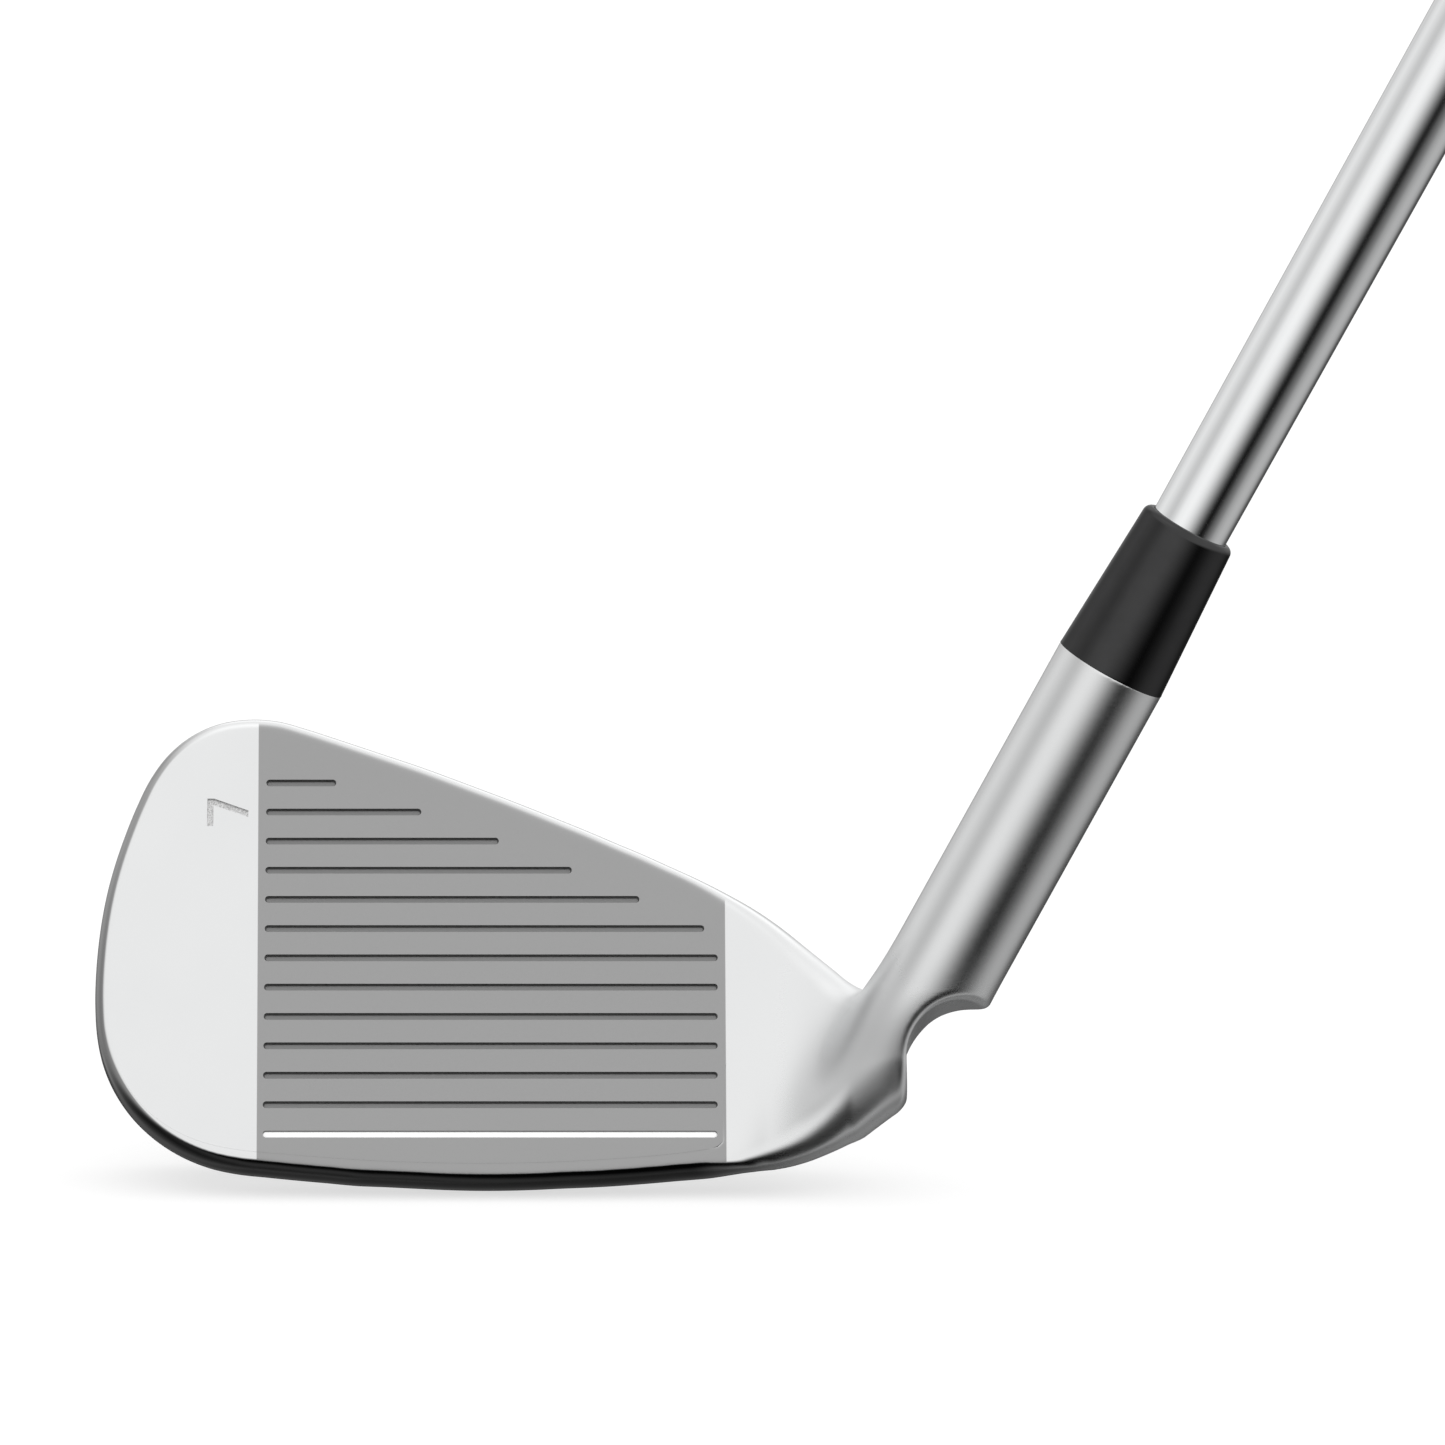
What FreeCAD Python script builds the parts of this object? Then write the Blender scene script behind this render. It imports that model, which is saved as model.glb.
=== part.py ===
# Iron golf club, right-handed, number 7: cast stainless cavity-back head with a welded face
# plate, notched hosel, ferrule, stepped steel shaft and slip-on rubber grip.
#
# Frame: millimetres, +Z up, club soled at its lie angle on the plane Z = 0.
# Origin: the point of the sole that touches the ground, below the middle of the scorelines.
# +X runs from toe to heel (the shaft leans towards +X), +Y runs from the face to the back.
# Every piece on the shaft is revolved about its own local Z axis and placed on the shaft
# centreline, where local z is the distance along that line from the ground plane.

import FreeCAD, Part
import Sketcher
import math
import os

from FreeCAD import Placement, Rotation, Vector

doc = FreeCAD.newDocument("iron_club")

# ------------------------------------------------------------------ driving dimensions
# Distances "along the shaft" are from the ground, on the shaft line.
SIZES = {
    # Stance
    "loft": 30.0,            # face angle back from vertical, degrees
    "lie": 61.5,             # shaft angle above the ground, degrees
    "shaft_x": 39.24,        # where the shaft line meets the ground
    "shaft_y": -5.5,
    "face_y": -10.2,         # where the face plane meets the ground
    "club_len": 939.8,       # along the shaft, to the end of the cap
    # Hosel
    "hosel_od": 13.46,
    "hosel_top": 72.1,       # along the shaft
    "glue_gap": 0.12,        # between bore and shaft
    "bore_floor": 38.0,      # along the shaft
    "mouth_cone": 0.7,
    "notch_radius": 6.6,
    # Shaft
    "tip_end": 40.4,         # lower end, along the shaft
    "tip_dia": 9.017,
    "tip_taper": 0.0075,     # diameter per length
    "first_step": 258.0,     # along the shaft
    "step_len": 34.0,
    "butt_dia": 15.24,
    "butt_end": 934.6,       # along the shaft
    "butt_wall": 0.36,
    "tip_bore": 3.75,        # radius
    # Ferrule
    "ferrule_len": 19.0,
    "ferrule_base": 13.38,   # diameters
    "ferrule_neck": 11.5,
    "ferrule_lip": 0.9,
    # Tip weight
    "weight_flange": 1.9,    # top of the flange, above the bore floor
    "weight_stem": 3.4,      # radius
    "weight_len": 24.0,
    # Band, tape, grip and cap
    "band_low": 637.0,
    "band_len": 30.0,
    "film": 0.12,
    "tape": 0.2,
    "tape_low": 676.0,
    "tape_tuck": 12.0,       # length folded into the butt
    "grip_low": 672.8,
    "grip_mouth": 16.9,      # diameters
    "grip_mid": 20.2,
    "grip_butt": 26.2,
    "grip_fit": 8.02,        # bore radius
    "cap_low": 934.8,
    "cap_dia": 27.0,
    "cap_round": 1.6,
    "vent_radius": 1.6,
    # Face plate and its scorelines
    "plate_thick": 2.5,
    "plate_inset": 2.3,      # inside the topline and toe
    "plate_heel": 28.42,     # heel end of the plate
    "slot_width": 0.84,      # at the face
    "slot_floor": 0.50,      # width at the bottom
    "slot_depth": 0.45,
    "slot_pitch": 3.67,
    "slot_top": 52.64,       # top scoreline, height up the face
    "slot_left": -26.4,
    "slot_right": 27.35,
    "digit_depth": 0.25,
    # Cavity and badge
    "ledge_thick": 1.9,
    "pocket_inset": 5.6,     # inside the topline and toe
    "window_inset": 7.8,
    "shelf": 16.6,           # height of the pocket floor, up the face
    "glue_thick": 0.45,
    "carrier_thick": 1.9,
    "badge_thick": 0.8,
    # Weight port
    "port_radius": 2.7,
    "port_x": -22.0,
    "port_behind": 11.0,     # axis, behind the face
    "port_deep": 5.6,
    "screw_len": 5.3,
    "screw_gap": 0.05,
}
dims = doc.addObject("Spreadsheet::Sheet", "dims")
for row, (alias, size) in enumerate(SIZES.items(), start=1):
    dims.set(f"A{row}", alias)
    dims.set(f"B{row}", repr(size))
    dims.setAlias(f"B{row}", alias)
doc.recompute()      # from here sizes are read from the sheet, as dims.alias

LOFT = math.radians(dims.loft)
LIE = math.radians(dims.lie)
FACE_UP = Vector(0, math.sin(LOFT), math.cos(LOFT))
FACE_OUT = Vector(0, -math.cos(LOFT), math.sin(LOFT))
SHAFT_UP = Vector(math.cos(LIE), 0, math.sin(LIE))
SHAFT_FOOT = Vector(dims.shaft_x, dims.shaft_y, 0)
SHAFT = Placement(SHAFT_FOOT, Rotation(Vector(0, 1, 0), 90 - dims.lie))
FACE = Placement(Vector(0, dims.face_y, 0), Rotation(Vector(1, 0, 0), 90 - dims.loft))
ALONG_FACE_UP = Rotation(Vector(0, 0, 1), FACE_UP)


# ------------------------------------------------------------------ helpers
def on_face(along, up, behind):
    """Point given along the face, up it and behind it."""
    return FACE.multVec(Vector(along, up, -behind))


def feature(name, shape):
    item = doc.addObject("Part::Feature", name)
    item.Shape = shape
    return item


def boolean(kind, name, base, tool):
    item = doc.addObject(f"Part::{kind}", name)
    item.Base = base
    item.Tool = tool
    return item


def cylinder(name, radius, height, placement):
    """Cylinder whose radius and height are expressions of the sheet."""
    item = doc.addObject("Part::Cylinder", name)
    item.setExpression("Radius", radius)
    item.setExpression("Height", height)
    item.Placement = placement
    return item


def lines(points):
    return [Part.makeLine(start, end) for start, end in zip(points, points[1:])]


def polygon_face(points):
    """Face inside a polygon of (along, up) points on the face plane."""
    face = Part.Face(Part.makePolygon([Vector(x, y, 0) for x, y in points + points[:1]]))
    face.Placement = FACE
    return face


def run_face(runs, placement):
    """Planar face bounded by a chain of runs: two points make a line, more make a spline."""
    edges = []
    for run in runs:
        points = [Vector(x, y, 0) for x, y in run]
        if len(points) == 2:
            edges.append(Part.makeLine(*points))
        else:
            curve = Part.BSplineCurve()
            curve.interpolate(points)
            edges.append(curve.toShape())
    face = Part.Face(Part.Wire(edges))
    face.Placement = placement
    return face


def prism(face, behind, depth):
    """Solid square to the face plane, starting at a distance behind it."""
    return face.translated(FACE_OUT * -behind).extrude(FACE_OUT * -depth)


def dim(*terms, plus=0.0):
    """(value, expression) of a sum of aliases or (factor, alias) pairs, and a constant."""
    pairs = [(1, term) if isinstance(term, str) else term for term in terms]
    value = plus + sum(factor * getattr(dims, alias) for factor, alias in pairs)
    parts = [f"{factor} * dims.{alias}" for factor, alias in pairs]
    if plus or not parts:
        parts.append(f"{plus}")
    return value, " + ".join(parts).replace("+ -", "- ")


def closed_polygon(sketch, points):
    """Closed line loop whose corners are held by distances that follow the sheet."""
    corners = [Vector(x[0], y[0], 0) for x, y in points]
    count = len(corners)
    for i in range(count):
        sketch.addGeometry(Part.LineSegment(corners[i], corners[(i + 1) % count]), False)
    for i in range(count):
        sketch.addConstraint(Sketcher.Constraint("Coincident", i, 2, (i + 1) % count, 1))
    for i, (x, y) in enumerate(points):
        for kind, (value, text), axis in (("DistanceX", x, -2), ("DistanceY", y, -1)):
            if abs(value) < 1e-9:
                sketch.addConstraint(Sketcher.Constraint("PointOnObject", i, 1, axis))
            else:
                held = sketch.addConstraint(Sketcher.Constraint(kind, -1, 1, i, 1, value))
                name = f"{kind[-1]}{i}"
                sketch.renameConstraint(held, name)
                sketch.setExpression(f"Constraints.{name}", text)


def revolved(name, points, rim=None):
    """Body turned about the shaft line from a closed (radius, distance) polygon. A rim, as
    (radius, distance, alias of the fillet radius), rounds one circular edge."""
    body = doc.addObject("PartDesign::Body", name)
    sketch = body.newObject("Sketcher::SketchObject", name + "_profile")
    plane = next(o for o in body.Origin.OriginFeatures if o.Role == "XZ_Plane")
    sketch.AttachmentSupport = [(plane, "")]
    sketch.MapMode = "FlatFace"
    closed_polygon(sketch, points)
    turned = body.newObject("PartDesign::Revolution", name + "_turned")
    turned.Profile = sketch
    turned.ReferenceAxis = (sketch, ["V_Axis"])
    turned.Angle = 360
    body.Tip = turned
    if rim:
        radius, distance, fillet_alias = rim
        doc.recompute()      # the edge can only be found on a built shape
        edge = next(f"Edge{i}" for i, e in enumerate(turned.Shape.Edges, start=1)
                    if isinstance(e.Curve, Part.Circle)
                    and abs(e.Curve.Radius - radius) < 1e-3
                    and abs(e.Curve.Center.z - distance) < 1e-3)
        fillet = body.newObject("PartDesign::Fillet", name + "_rim")
        fillet.Base = (turned, [edge])
        fillet.setExpression("Radius", f"dims.{fillet_alias}")
        body.Tip = fillet
    body.Placement = SHAFT
    return body


# ------------------------------------------------------------------ head outlines
# Topline and toe from heel to toe, square to the face: (along the face, up the face).
TOPLINE = [
    (34.4, 35.9), (31.43, 37.73), (28.25, 39.45), (21.76, 42.57), (15.21, 45.59),
    (8.61, 48.50), (1.95, 51.29), (-4.75, 53.95), (-11.52, 56.46), (-18.33, 58.86),
    (-22.2, 60.15), (-25.4, 60.98), (-28.75, 61.25), (-32.22, 60.64), (-35.44, 59.08),
    (-38.15, 56.67), (-40.23, 53.63), (-41.78, 50.24), (-43.08, 46.74), (-44.21, 43.17),
    (-45.12, 39.55), (-45.77, 35.86), (-46.19, 32.14), (-46.42, 27.5),
]
# Heel end of the blade, upwards, in the same columns.
HEEL_END = [(49.0, 8.0), (46.0, 12.5), (44.0, 17.5), (42.0, 23.0), (39.3, 29.5),
            (36.8, 33.6), (34.4, 35.9)]
OUTLINE = [TOPLINE, [(-46.42, 27.5), (-46.42, -14)], [(-46.42, -14), (49.0, -14)],
           [(49.0, -14), (49.0, 8.0)], HEEL_END]
# Lower toe, sole and heel, seen along Y: (X, Z).
LOWER = [
    (-46.42, 26.0), (-46.40, 21.5), (-46.12, 18.2), (-45.31, 14.7), (-43.87, 11.5),
    (-41.83, 8.6), (-39.25, 6.10), (-36.26, 4.15), (-32.98, 2.75), (-29.4, 1.95),
    (-22.3, 1.15), (-15.2, 0.53), (-8.0, 0.12), (0.0, -0.06), (8.0, 0.12), (15.0, 0.55),
    (20.0, 1.0), (27.0, 1.75), (34.0, 3.10), (37.4, 4.0), (40.7, 5.15), (43.9, 6.65),
    (46.6, 8.25), (49.2, 10.2), (51.0, 13.0),
]
SIDE = [LOWER, [(51.0, 13.0), (51.0, 18.0)], [(51.0, 18.0), (140.0, 18.0)],
        [(140.0, 18.0), (140.0, 120.0)], [(140.0, 120.0), (-46.42, 120.0)],
        [(-46.42, 120.0), (-46.42, 26.0)]]
# Sole arcs from the ground contact: (radius, start, end), the angles being those of the
# surface normal in degrees, 0 pointing forward and -90 down.
SOLE_FRONT = [(29.3, -90, -80), (4.4, -80, -33), (1.8, -33, -8), (0.5, -8, 5)]
SOLE_BACK = [(70.0, -90, -96), (18.0, -96, -109), (2.4, -109, -200)]
CAMBER = 215.0       # heel-to-toe radius of the sole
CAMBER_SWING = 17    # degrees to each side
# Back of the blade, muscle to topline: (up the face, behind the face).
BACK = [(15.5, 18.6), (18.2, 15.6), (19.9, 12.2), (22.6, 10.4), (28.0, 9.0), (35.0, 8.0),
        (44.0, 7.1), (54.0, 6.5), (70.0, 6.2)]


def inset_topline(distance, heel):
    """Topline and toe moved inwards (left of the run), starting at the heel limit."""
    moved = []
    for i, point in enumerate(TOPLINE):
        before = TOPLINE[max(i - 1, 0)]
        after = TOPLINE[min(i + 1, len(TOPLINE) - 1)]
        dx, dy = after[0] - before[0], after[1] - before[1]
        length = math.hypot(dx, dy)
        moved.append((point[0] - dy / length * distance, point[1] + dx / length * distance))
    first = next(i for i, point in enumerate(moved) if point[0] <= heel - 1.0)
    before, after = moved[first - 1], moved[first]
    share = (heel - before[0]) / (after[0] - before[0])
    return [(heel, before[1] + share * (after[1] - before[1]))] + moved[first:]


# ------------------------------------------------------------------ head blank
def arc_run(arcs):
    """Tangent arcs in the YZ plane from the origin. Returns the edges and the last point."""
    def normal(degrees):
        angle = math.radians(degrees)
        return Vector(0, -math.cos(angle), math.sin(angle))

    point = Vector(0, 0, 0)
    edges = []
    for radius, start, end in arcs:
        centre = point - normal(start) * radius
        ends = [centre + normal(angle) * radius for angle in (start, (start + end) / 2, end)]
        edges.append(Part.Arc(*ends).toShape())
        point = ends[2]
    return edges, point


def sole_shape():
    """Sole section with walls above, swung about a line parallel to Y over the origin."""
    front_edges, front_end = arc_run(SOLE_FRONT)
    back_edges, back_end = arc_run(SOLE_BACK)
    wall_y = -16
    walls = lines([back_end, back_end + FACE_UP * 80.0, Vector(0, wall_y, 75),
                   Vector(0, wall_y, front_end.z), front_end])
    section = Part.Face(Part.Wire(Part.__sortEdges__(front_edges + back_edges + walls)))
    centre, axis = Vector(0, 0, CAMBER), Vector(0, 1, 0)
    section.rotate(centre, axis, -CAMBER_SWING)
    return section.revolve(centre, axis, 2 * CAMBER_SWING)


def back_shape():
    """Back section, straight from toe to heel: muscle low down, thin wall above."""
    toe = -60
    points = [on_face(toe, up, behind) for up, behind in BACK]
    curve = Part.BSplineCurve()
    curve.interpolate(points)
    rest = lines([points[-1], on_face(toe, 70.0, -4), Vector(toe, -20, -12),
                  on_face(toe, -6.0, 18.6), points[0]])
    return Part.Face(Part.Wire([curve.toShape()] + rest)).extrude(Vector(-2 * toe, 0, 0))


def neck_shape():
    """Loft between ellipses, from inside the heel end of the blade into the hosel."""
    blade_end = on_face(26.0, 20.5, 5.2)
    hosel_end = SHAFT_FOOT + SHAFT_UP * 20.0
    rings = [
        Part.Ellipse(blade_end + FACE_UP * 14.0, blade_end - FACE_OUT * 2.9, blade_end),
        Part.Ellipse(hosel_end + Vector(0, 1.6, 11.6), hosel_end + Vector(0, 5.8, -0.8),
                     hosel_end),
    ]
    return Part.makeLoft([Part.Wire([ring.toShape()]) for ring in rings], True, True)


def notch_shape():
    """Round-topped slot across the heel side of the hosel foot, falling towards the back,
    open towards the heel and the sole."""
    run = Vector(-0.024, 0.953, -0.303).normalize()
    half_run = 20
    start = Vector(56.08, dims.shaft_y, 15.9) - run * half_run
    across = (Vector(1, 0, 0) - run * run.x).normalize()
    lift = across.cross(run)

    def at(x, y):
        return start + across * x + lift * y

    radius = dims.notch_radius
    arc = Part.Arc(at(-radius, 0), at(0, radius), at(radius, 0)).toShape()
    sides = lines([at(radius, 0), at(radius + 9, 0), at(radius + 9, -17),
                   at(-radius + 0.5, -17), at(-radius, 0)])
    return Part.Face(Part.Wire([arc] + sides)).extrude(run * 2 * half_run)


TIP_RADIUS = (0.5, "tip_dia")
BUTT_RADIUS = (0.5, "butt_dia")
ON_AXIS = dim()


def tip_growth(distance):
    """How much the tapered tip has gained in radius at a distance along the shaft."""
    return round(dims.tip_taper / 2 * (distance - dims.tip_end), 5)


MOUTH_GROWTH = tip_growth(dims.hosel_top)


def bore_tool():
    """Bore that follows the shaft's taper with a glue gap, coned at the mouth."""
    low_radius = dim(TIP_RADIUS, "glue_gap")
    return revolved("bore_tool", [
        (ON_AXIS, dim("bore_floor")),
        (low_radius, dim("bore_floor")),
        (low_radius, dim("tip_end")),
        (dim(TIP_RADIUS, "glue_gap", plus=MOUTH_GROWTH), dim("hosel_top", (-1, "mouth_cone"))),
        (dim(TIP_RADIUS, "glue_gap", "mouth_cone", plus=MOUTH_GROWTH), dim("hosel_top")),
        (ON_AXIS, dim("hosel_top"))])


def head_blank():
    """Blade, neck and hosel, with the notch and the shaft bore cut."""
    outline = feature("outline_block", prism(run_face(OUTLINE, FACE), 0, 30))
    side_plane = Placement(Vector(0, 60, 0), Rotation(Vector(1, 0, 0), 90))
    side = feature("side_block", run_face(SIDE, side_plane).extrude(Vector(0, -120, 0)))
    sole = feature("sole_block", sole_shape())
    back = feature("back_block", back_shape())
    blade = boolean("Common", "blade_0", outline, sole)
    blade = boolean("Common", "blade_a", blade, back)
    hosel = cylinder("hosel", "dims.hosel_od / 2", "dims.hosel_top", SHAFT)
    neck = feature("neck", neck_shape())
    stem = boolean("Fuse", "fuse_a", hosel, neck)
    blank = boolean("Fuse", "fuse_b", blade, stem)
    blank = boolean("Common", "head_0", blank, side)
    notch = feature("notch", notch_shape())
    blank = boolean("Cut", "head_a", blank, notch)
    return boolean("Cut", "head_b", blank, bore_tool())


# ------------------------------------------------------------------ face plate outline
# Lower edge of the plate from toe to heel: (along the face, up the face).
PLATE_SOLE = [
    (-43.2, 16.3), (-41.6, 13.4), (-39.3, 10.9), (-36.6, 9.0), (-33.4, 7.6), (-29.8, 6.75),
    (-24.0, 6.15), (-17.0, 5.55), (-8.0, 5.10), (0.0, 4.98), (8.0, 5.15), (16.0, 5.60),
    (22.0, 6.15), (26.2, 6.75),
]


def plate_face():
    top = inset_topline(dims.plate_inset, dims.plate_heel)
    toe = [top[-1], (-44.05, 24.5), (-43.85, 19.8), PLATE_SOLE[0]]
    heel_corner = [PLATE_SOLE[-1], (27.6, 7.35), (dims.plate_heel, 8.9)]
    return run_face([top, toe, PLATE_SOLE, heel_corner, [heel_corner[-1], top[0]]], FACE)


# ------------------------------------------------------------------ cavity
# Cavity outlines: (inset from the topline and toe, lower wall, heel wall, corner radius).
WINDOW = (dims.window_inset, dims.shelf + 2.2, 28.0, 4.0)
POCKET = (dims.pocket_inset, dims.shelf, 30.0, 5.0)
LEDGE_BACK = dims.plate_thick + dims.ledge_thick     # ledge that the carrier rests on
TOE_LIMIT = -44.4                                    # toe corner of an outline with no inset


def cavity_prism(outline, behind, depth, gap=0.0, top=None):
    """Prism square to the face inside the blade outline, with a straight lower wall, a
    straight heel wall and rounded corners. The gap shrinks it all round, and top cuts it
    off at a height up the face."""
    inset, low, heel, corner = outline
    inset, low, heel, corner = inset + gap, low + gap, heel - gap, corner - gap
    run = inset_topline(inset, heel)
    if low < run[-1][1] - 4:
        # A straight side carries the toe curve down to the lower wall.
        toe = (TOE_LIMIT + inset, low)
        knee = (run[-1][0], max(run[-1][1] - 4.5, low + 4.0))
        chain = [run, [run[-1], knee], [knee, toe]]
    else:
        # The lower wall meets the toe curve.
        above = [point for point in run if point[1] > low]
        last, below = above[-1], run[len(above)]
        share = (last[1] - low) / (last[1] - below[1])
        toe = (last[0] + share * (below[0] - last[0]), low)
        chain = [above + [toe]]
    chain += [[toe, (heel, low)], [(heel, low), run[0]]]
    solid = prism(run_face(chain, FACE), behind, depth)
    if top is not None:
        high = top - gap
        strip = polygon_face([(-60, low), (60, low), (60, high), (-60, high)])
        solid = solid.common(prism(strip, behind - 1, depth + 2))

    # Round the edges square to the face that stand on the heel wall or the lower wall.
    corners = []
    for edge in solid.Edges:
        start = edge.Vertexes[0].Point
        along = edge.Vertexes[-1].Point - start
        if along.Length < depth * 0.9:
            continue
        if abs(abs(along.dot(FACE_OUT)) / along.Length - 1) > 1e-6:
            continue
        place = start - FACE.Base
        if place.x > heel - 0.2 or place.dot(FACE_UP) < low + 0.2:
            corners.append(edge)
    return solid.makeFillet(corner, corners)


# Weight port: a round bore down into the shelf behind the badge, along the face.
PORT_FLOOR = on_face(dims.port_x, dims.shelf - dims.port_deep, dims.port_behind)
PORT = Placement(PORT_FLOOR, ALONG_FACE_UP)


def make_head():
    blank = head_blank()
    in_front = 6.0
    seat = feature("seat_tool", prism(plate_face(), 0, dims.plate_thick).fuse(
        prism(plate_face(), -in_front, in_front)))
    window = feature("window_tool", cavity_prism(WINDOW, 0.0, 30.0))
    pocket = feature("pocket_tool", cavity_prism(POCKET, LEDGE_BACK, 30.0))
    cavity = boolean("Fuse", "tools", window, pocket)
    seated = boolean("Cut", "head_c", blank, seat)
    hollow = boolean("Cut", "head_d", seated, cavity)
    port = cylinder("port_tool", "dims.port_radius", "dims.port_deep + 3", PORT)
    return boolean("Cut", "head_body", hollow, port)


# ------------------------------------------------------------------ face plate
# Heel ends of the scorelines, from the top one down.
SLOT_ENDS = [-18.07, -7.92, 1.32, 10.01, 18.04, 25.75] + [dims.slot_right] * 7
# Figure 7, reading from the toe: (along the face, up the face).
DIGIT = [(-33.4, 50.65), (-32.55, 50.65), (-28.5, 49.15), (-28.5, 48.35), (-32.65, 49.85),
         (-32.65, 47.2), (-33.4, 47.2)]


def scoreline(row, top):
    """Scoreline with sloped walls and round ends, from depth top down to its floor."""
    up = dims.slot_top - row * dims.slot_pitch

    def loop(width, behind):
        radius = width / 2
        toe = on_face(dims.slot_left + dims.slot_width / 2, up, behind)
        heel = on_face(SLOT_ENDS[row] - dims.slot_width / 2, up, behind)
        rise, reach = FACE_UP * radius, Vector(radius, 0, 0)
        return Part.Wire([
            Part.makeLine(toe + rise, heel + rise),
            Part.Arc(heel + rise, heel + reach, heel - rise).toShape(),
            Part.makeLine(heel - rise, toe - rise),
            Part.Arc(toe - rise, toe - reach, toe + rise).toShape()])

    slope = (dims.slot_width - dims.slot_floor) / dims.slot_depth
    return Part.makeLoft([loop(dims.slot_width - slope * top, top),
                          loop(dims.slot_floor, dims.slot_depth)], True, True)


def make_plate():
    blank = feature("plate_blank", prism(plate_face(), 0, dims.plate_thick))
    slots = feature("slot_tools", Part.makeCompound(
        [scoreline(row, top=-0.2) for row in range(len(SLOT_ENDS))]))
    scored = boolean("Cut", "plate_a", blank, slots)
    digit = feature("digit_tool", prism(polygon_face(DIGIT), -1.0, 1.0 + dims.digit_depth))
    return boolean("Cut", "face_plate", scored, digit)


def make_paint():
    """Paint in the lowest scoreline."""
    return feature("scoreline_paint", scoreline(len(SLOT_ENDS) - 1, top=0.24))


# ------------------------------------------------------------------ cavity badge
CARRIER_FRONT = LEDGE_BACK + 0.02
CARRIER_BACK = CARRIER_FRONT + dims.carrier_thick
GLUE = (dims.window_inset + 1.0, 28.8, 27.0, 0.8)
DAMPER_ROOM = (dims.window_inset + 0.8, dims.shelf + 3.0, 27.2, 2.6)
DAMPER_TOP = 28.3
BADGE_RECESS = (dims.pocket_inset + 2.0, 28.5, 27.6, 1.2)
BADGE_GAP = 0.12
BADGE = (BADGE_RECESS[0] + BADGE_GAP, BADGE_RECESS[1] + BADGE_GAP,
         BADGE_RECESS[2] - BADGE_GAP, 1.1)
BADGE_FRONT = CARRIER_BACK - 0.5
# Slanted slots low on the carrier
RIB_COUNT = 9
RIB_START = -32.6
RIB_PITCH = 6.3
RIB_WIDTH = 3.4
RIB_LEAN = 2.3
RIB_TOP = 26.2
RIB_FRONT = CARRIER_BACK - 0.7


def ribs(gap, depth):
    """The row of slanted prisms, shrunk by a gap."""
    low, high = dims.shelf + 3.0 + gap, RIB_TOP - gap
    solids = []
    for i in range(RIB_COUNT):
        left = RIB_START + i * RIB_PITCH + gap
        right = RIB_START + i * RIB_PITCH + RIB_WIDTH - gap
        outline = [(left, low), (right, low), (right + RIB_LEAN, high), (left + RIB_LEAN, high)]
        solids.append(prism(polygon_face(outline), RIB_FRONT, depth))
    return Part.makeCompound(solids)


def make_glue():
    return feature("badge_adhesive", cavity_prism(GLUE, dims.plate_thick, dims.glue_thick))


def make_damper():
    return feature("damping_insert", cavity_prism(
        DAMPER_ROOM, dims.plate_thick, dims.glue_thick + 0.9, gap=0.1, top=DAMPER_TOP))


def make_carrier():
    """Carrier filling the window and the pocket, with room for damper, badge and inlays."""
    room = feature("damper_room", cavity_prism(
        DAMPER_ROOM, dims.plate_thick, dims.glue_thick + 0.93, top=DAMPER_TOP))
    in_window = cavity_prism(WINDOW, dims.plate_thick + dims.glue_thick + 0.01,
                             dims.ledge_thick - dims.glue_thick + 0.5, gap=0.3)
    in_pocket = cavity_prism(POCKET, CARRIER_FRONT, dims.carrier_thick, gap=0.15)
    blank = feature("carrier_a", in_window.fuse(in_pocket))
    recess = feature("badge_recess", cavity_prism(BADGE_RECESS, BADGE_FRONT, 6.0))
    rib_cut = feature("rib_cut", ribs(gap=0.0, depth=5.0))
    recessed = boolean("Cut", "car_b", blank, recess)
    slotted = boolean("Cut", "car_c", recessed, rib_cut)
    return boolean("Cut", "badge_carrier", slotted, room)


def make_badge():
    return feature("badge_plate", cavity_prism(BADGE, BADGE_FRONT, dims.badge_thick))


def make_inlays():
    return feature("badge_inlays", ribs(gap=0.08, depth=0.9))


# ------------------------------------------------------------------ tuning weight
def make_screw():
    """Round plug in the port with a six-lobed socket in its upper end."""
    rod = cylinder("screw_rod", "dims.port_radius - dims.screw_gap", "dims.screw_len", PORT)
    socket_radius, lobe, socket_depth, samples = 1.45, 0.27, 2.4, 24
    points = []
    for i in range(samples):
        angle = 2 * math.pi * i / samples
        radius = socket_radius + lobe * math.cos(6 * angle)
        points.append(Vector(radius * math.cos(angle), radius * math.sin(angle), 0))
    curve = Part.BSplineCurve()
    curve.interpolate(points, PeriodicFlag=True)
    star = Part.Face(Part.Wire([curve.toShape()]))
    star.Placement = Placement(
        PORT_FLOOR + FACE_UP * (dims.screw_len - socket_depth), ALONG_FACE_UP)
    socket = feature("star_tool", star.extrude(FACE_UP * 4.0))
    return boolean("Cut", "tuning_weight_screw", rod, socket)


# ------------------------------------------------------------------ on the shaft line
STEP_COUNT = 12
STEP_RAMP = 1.2


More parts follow.
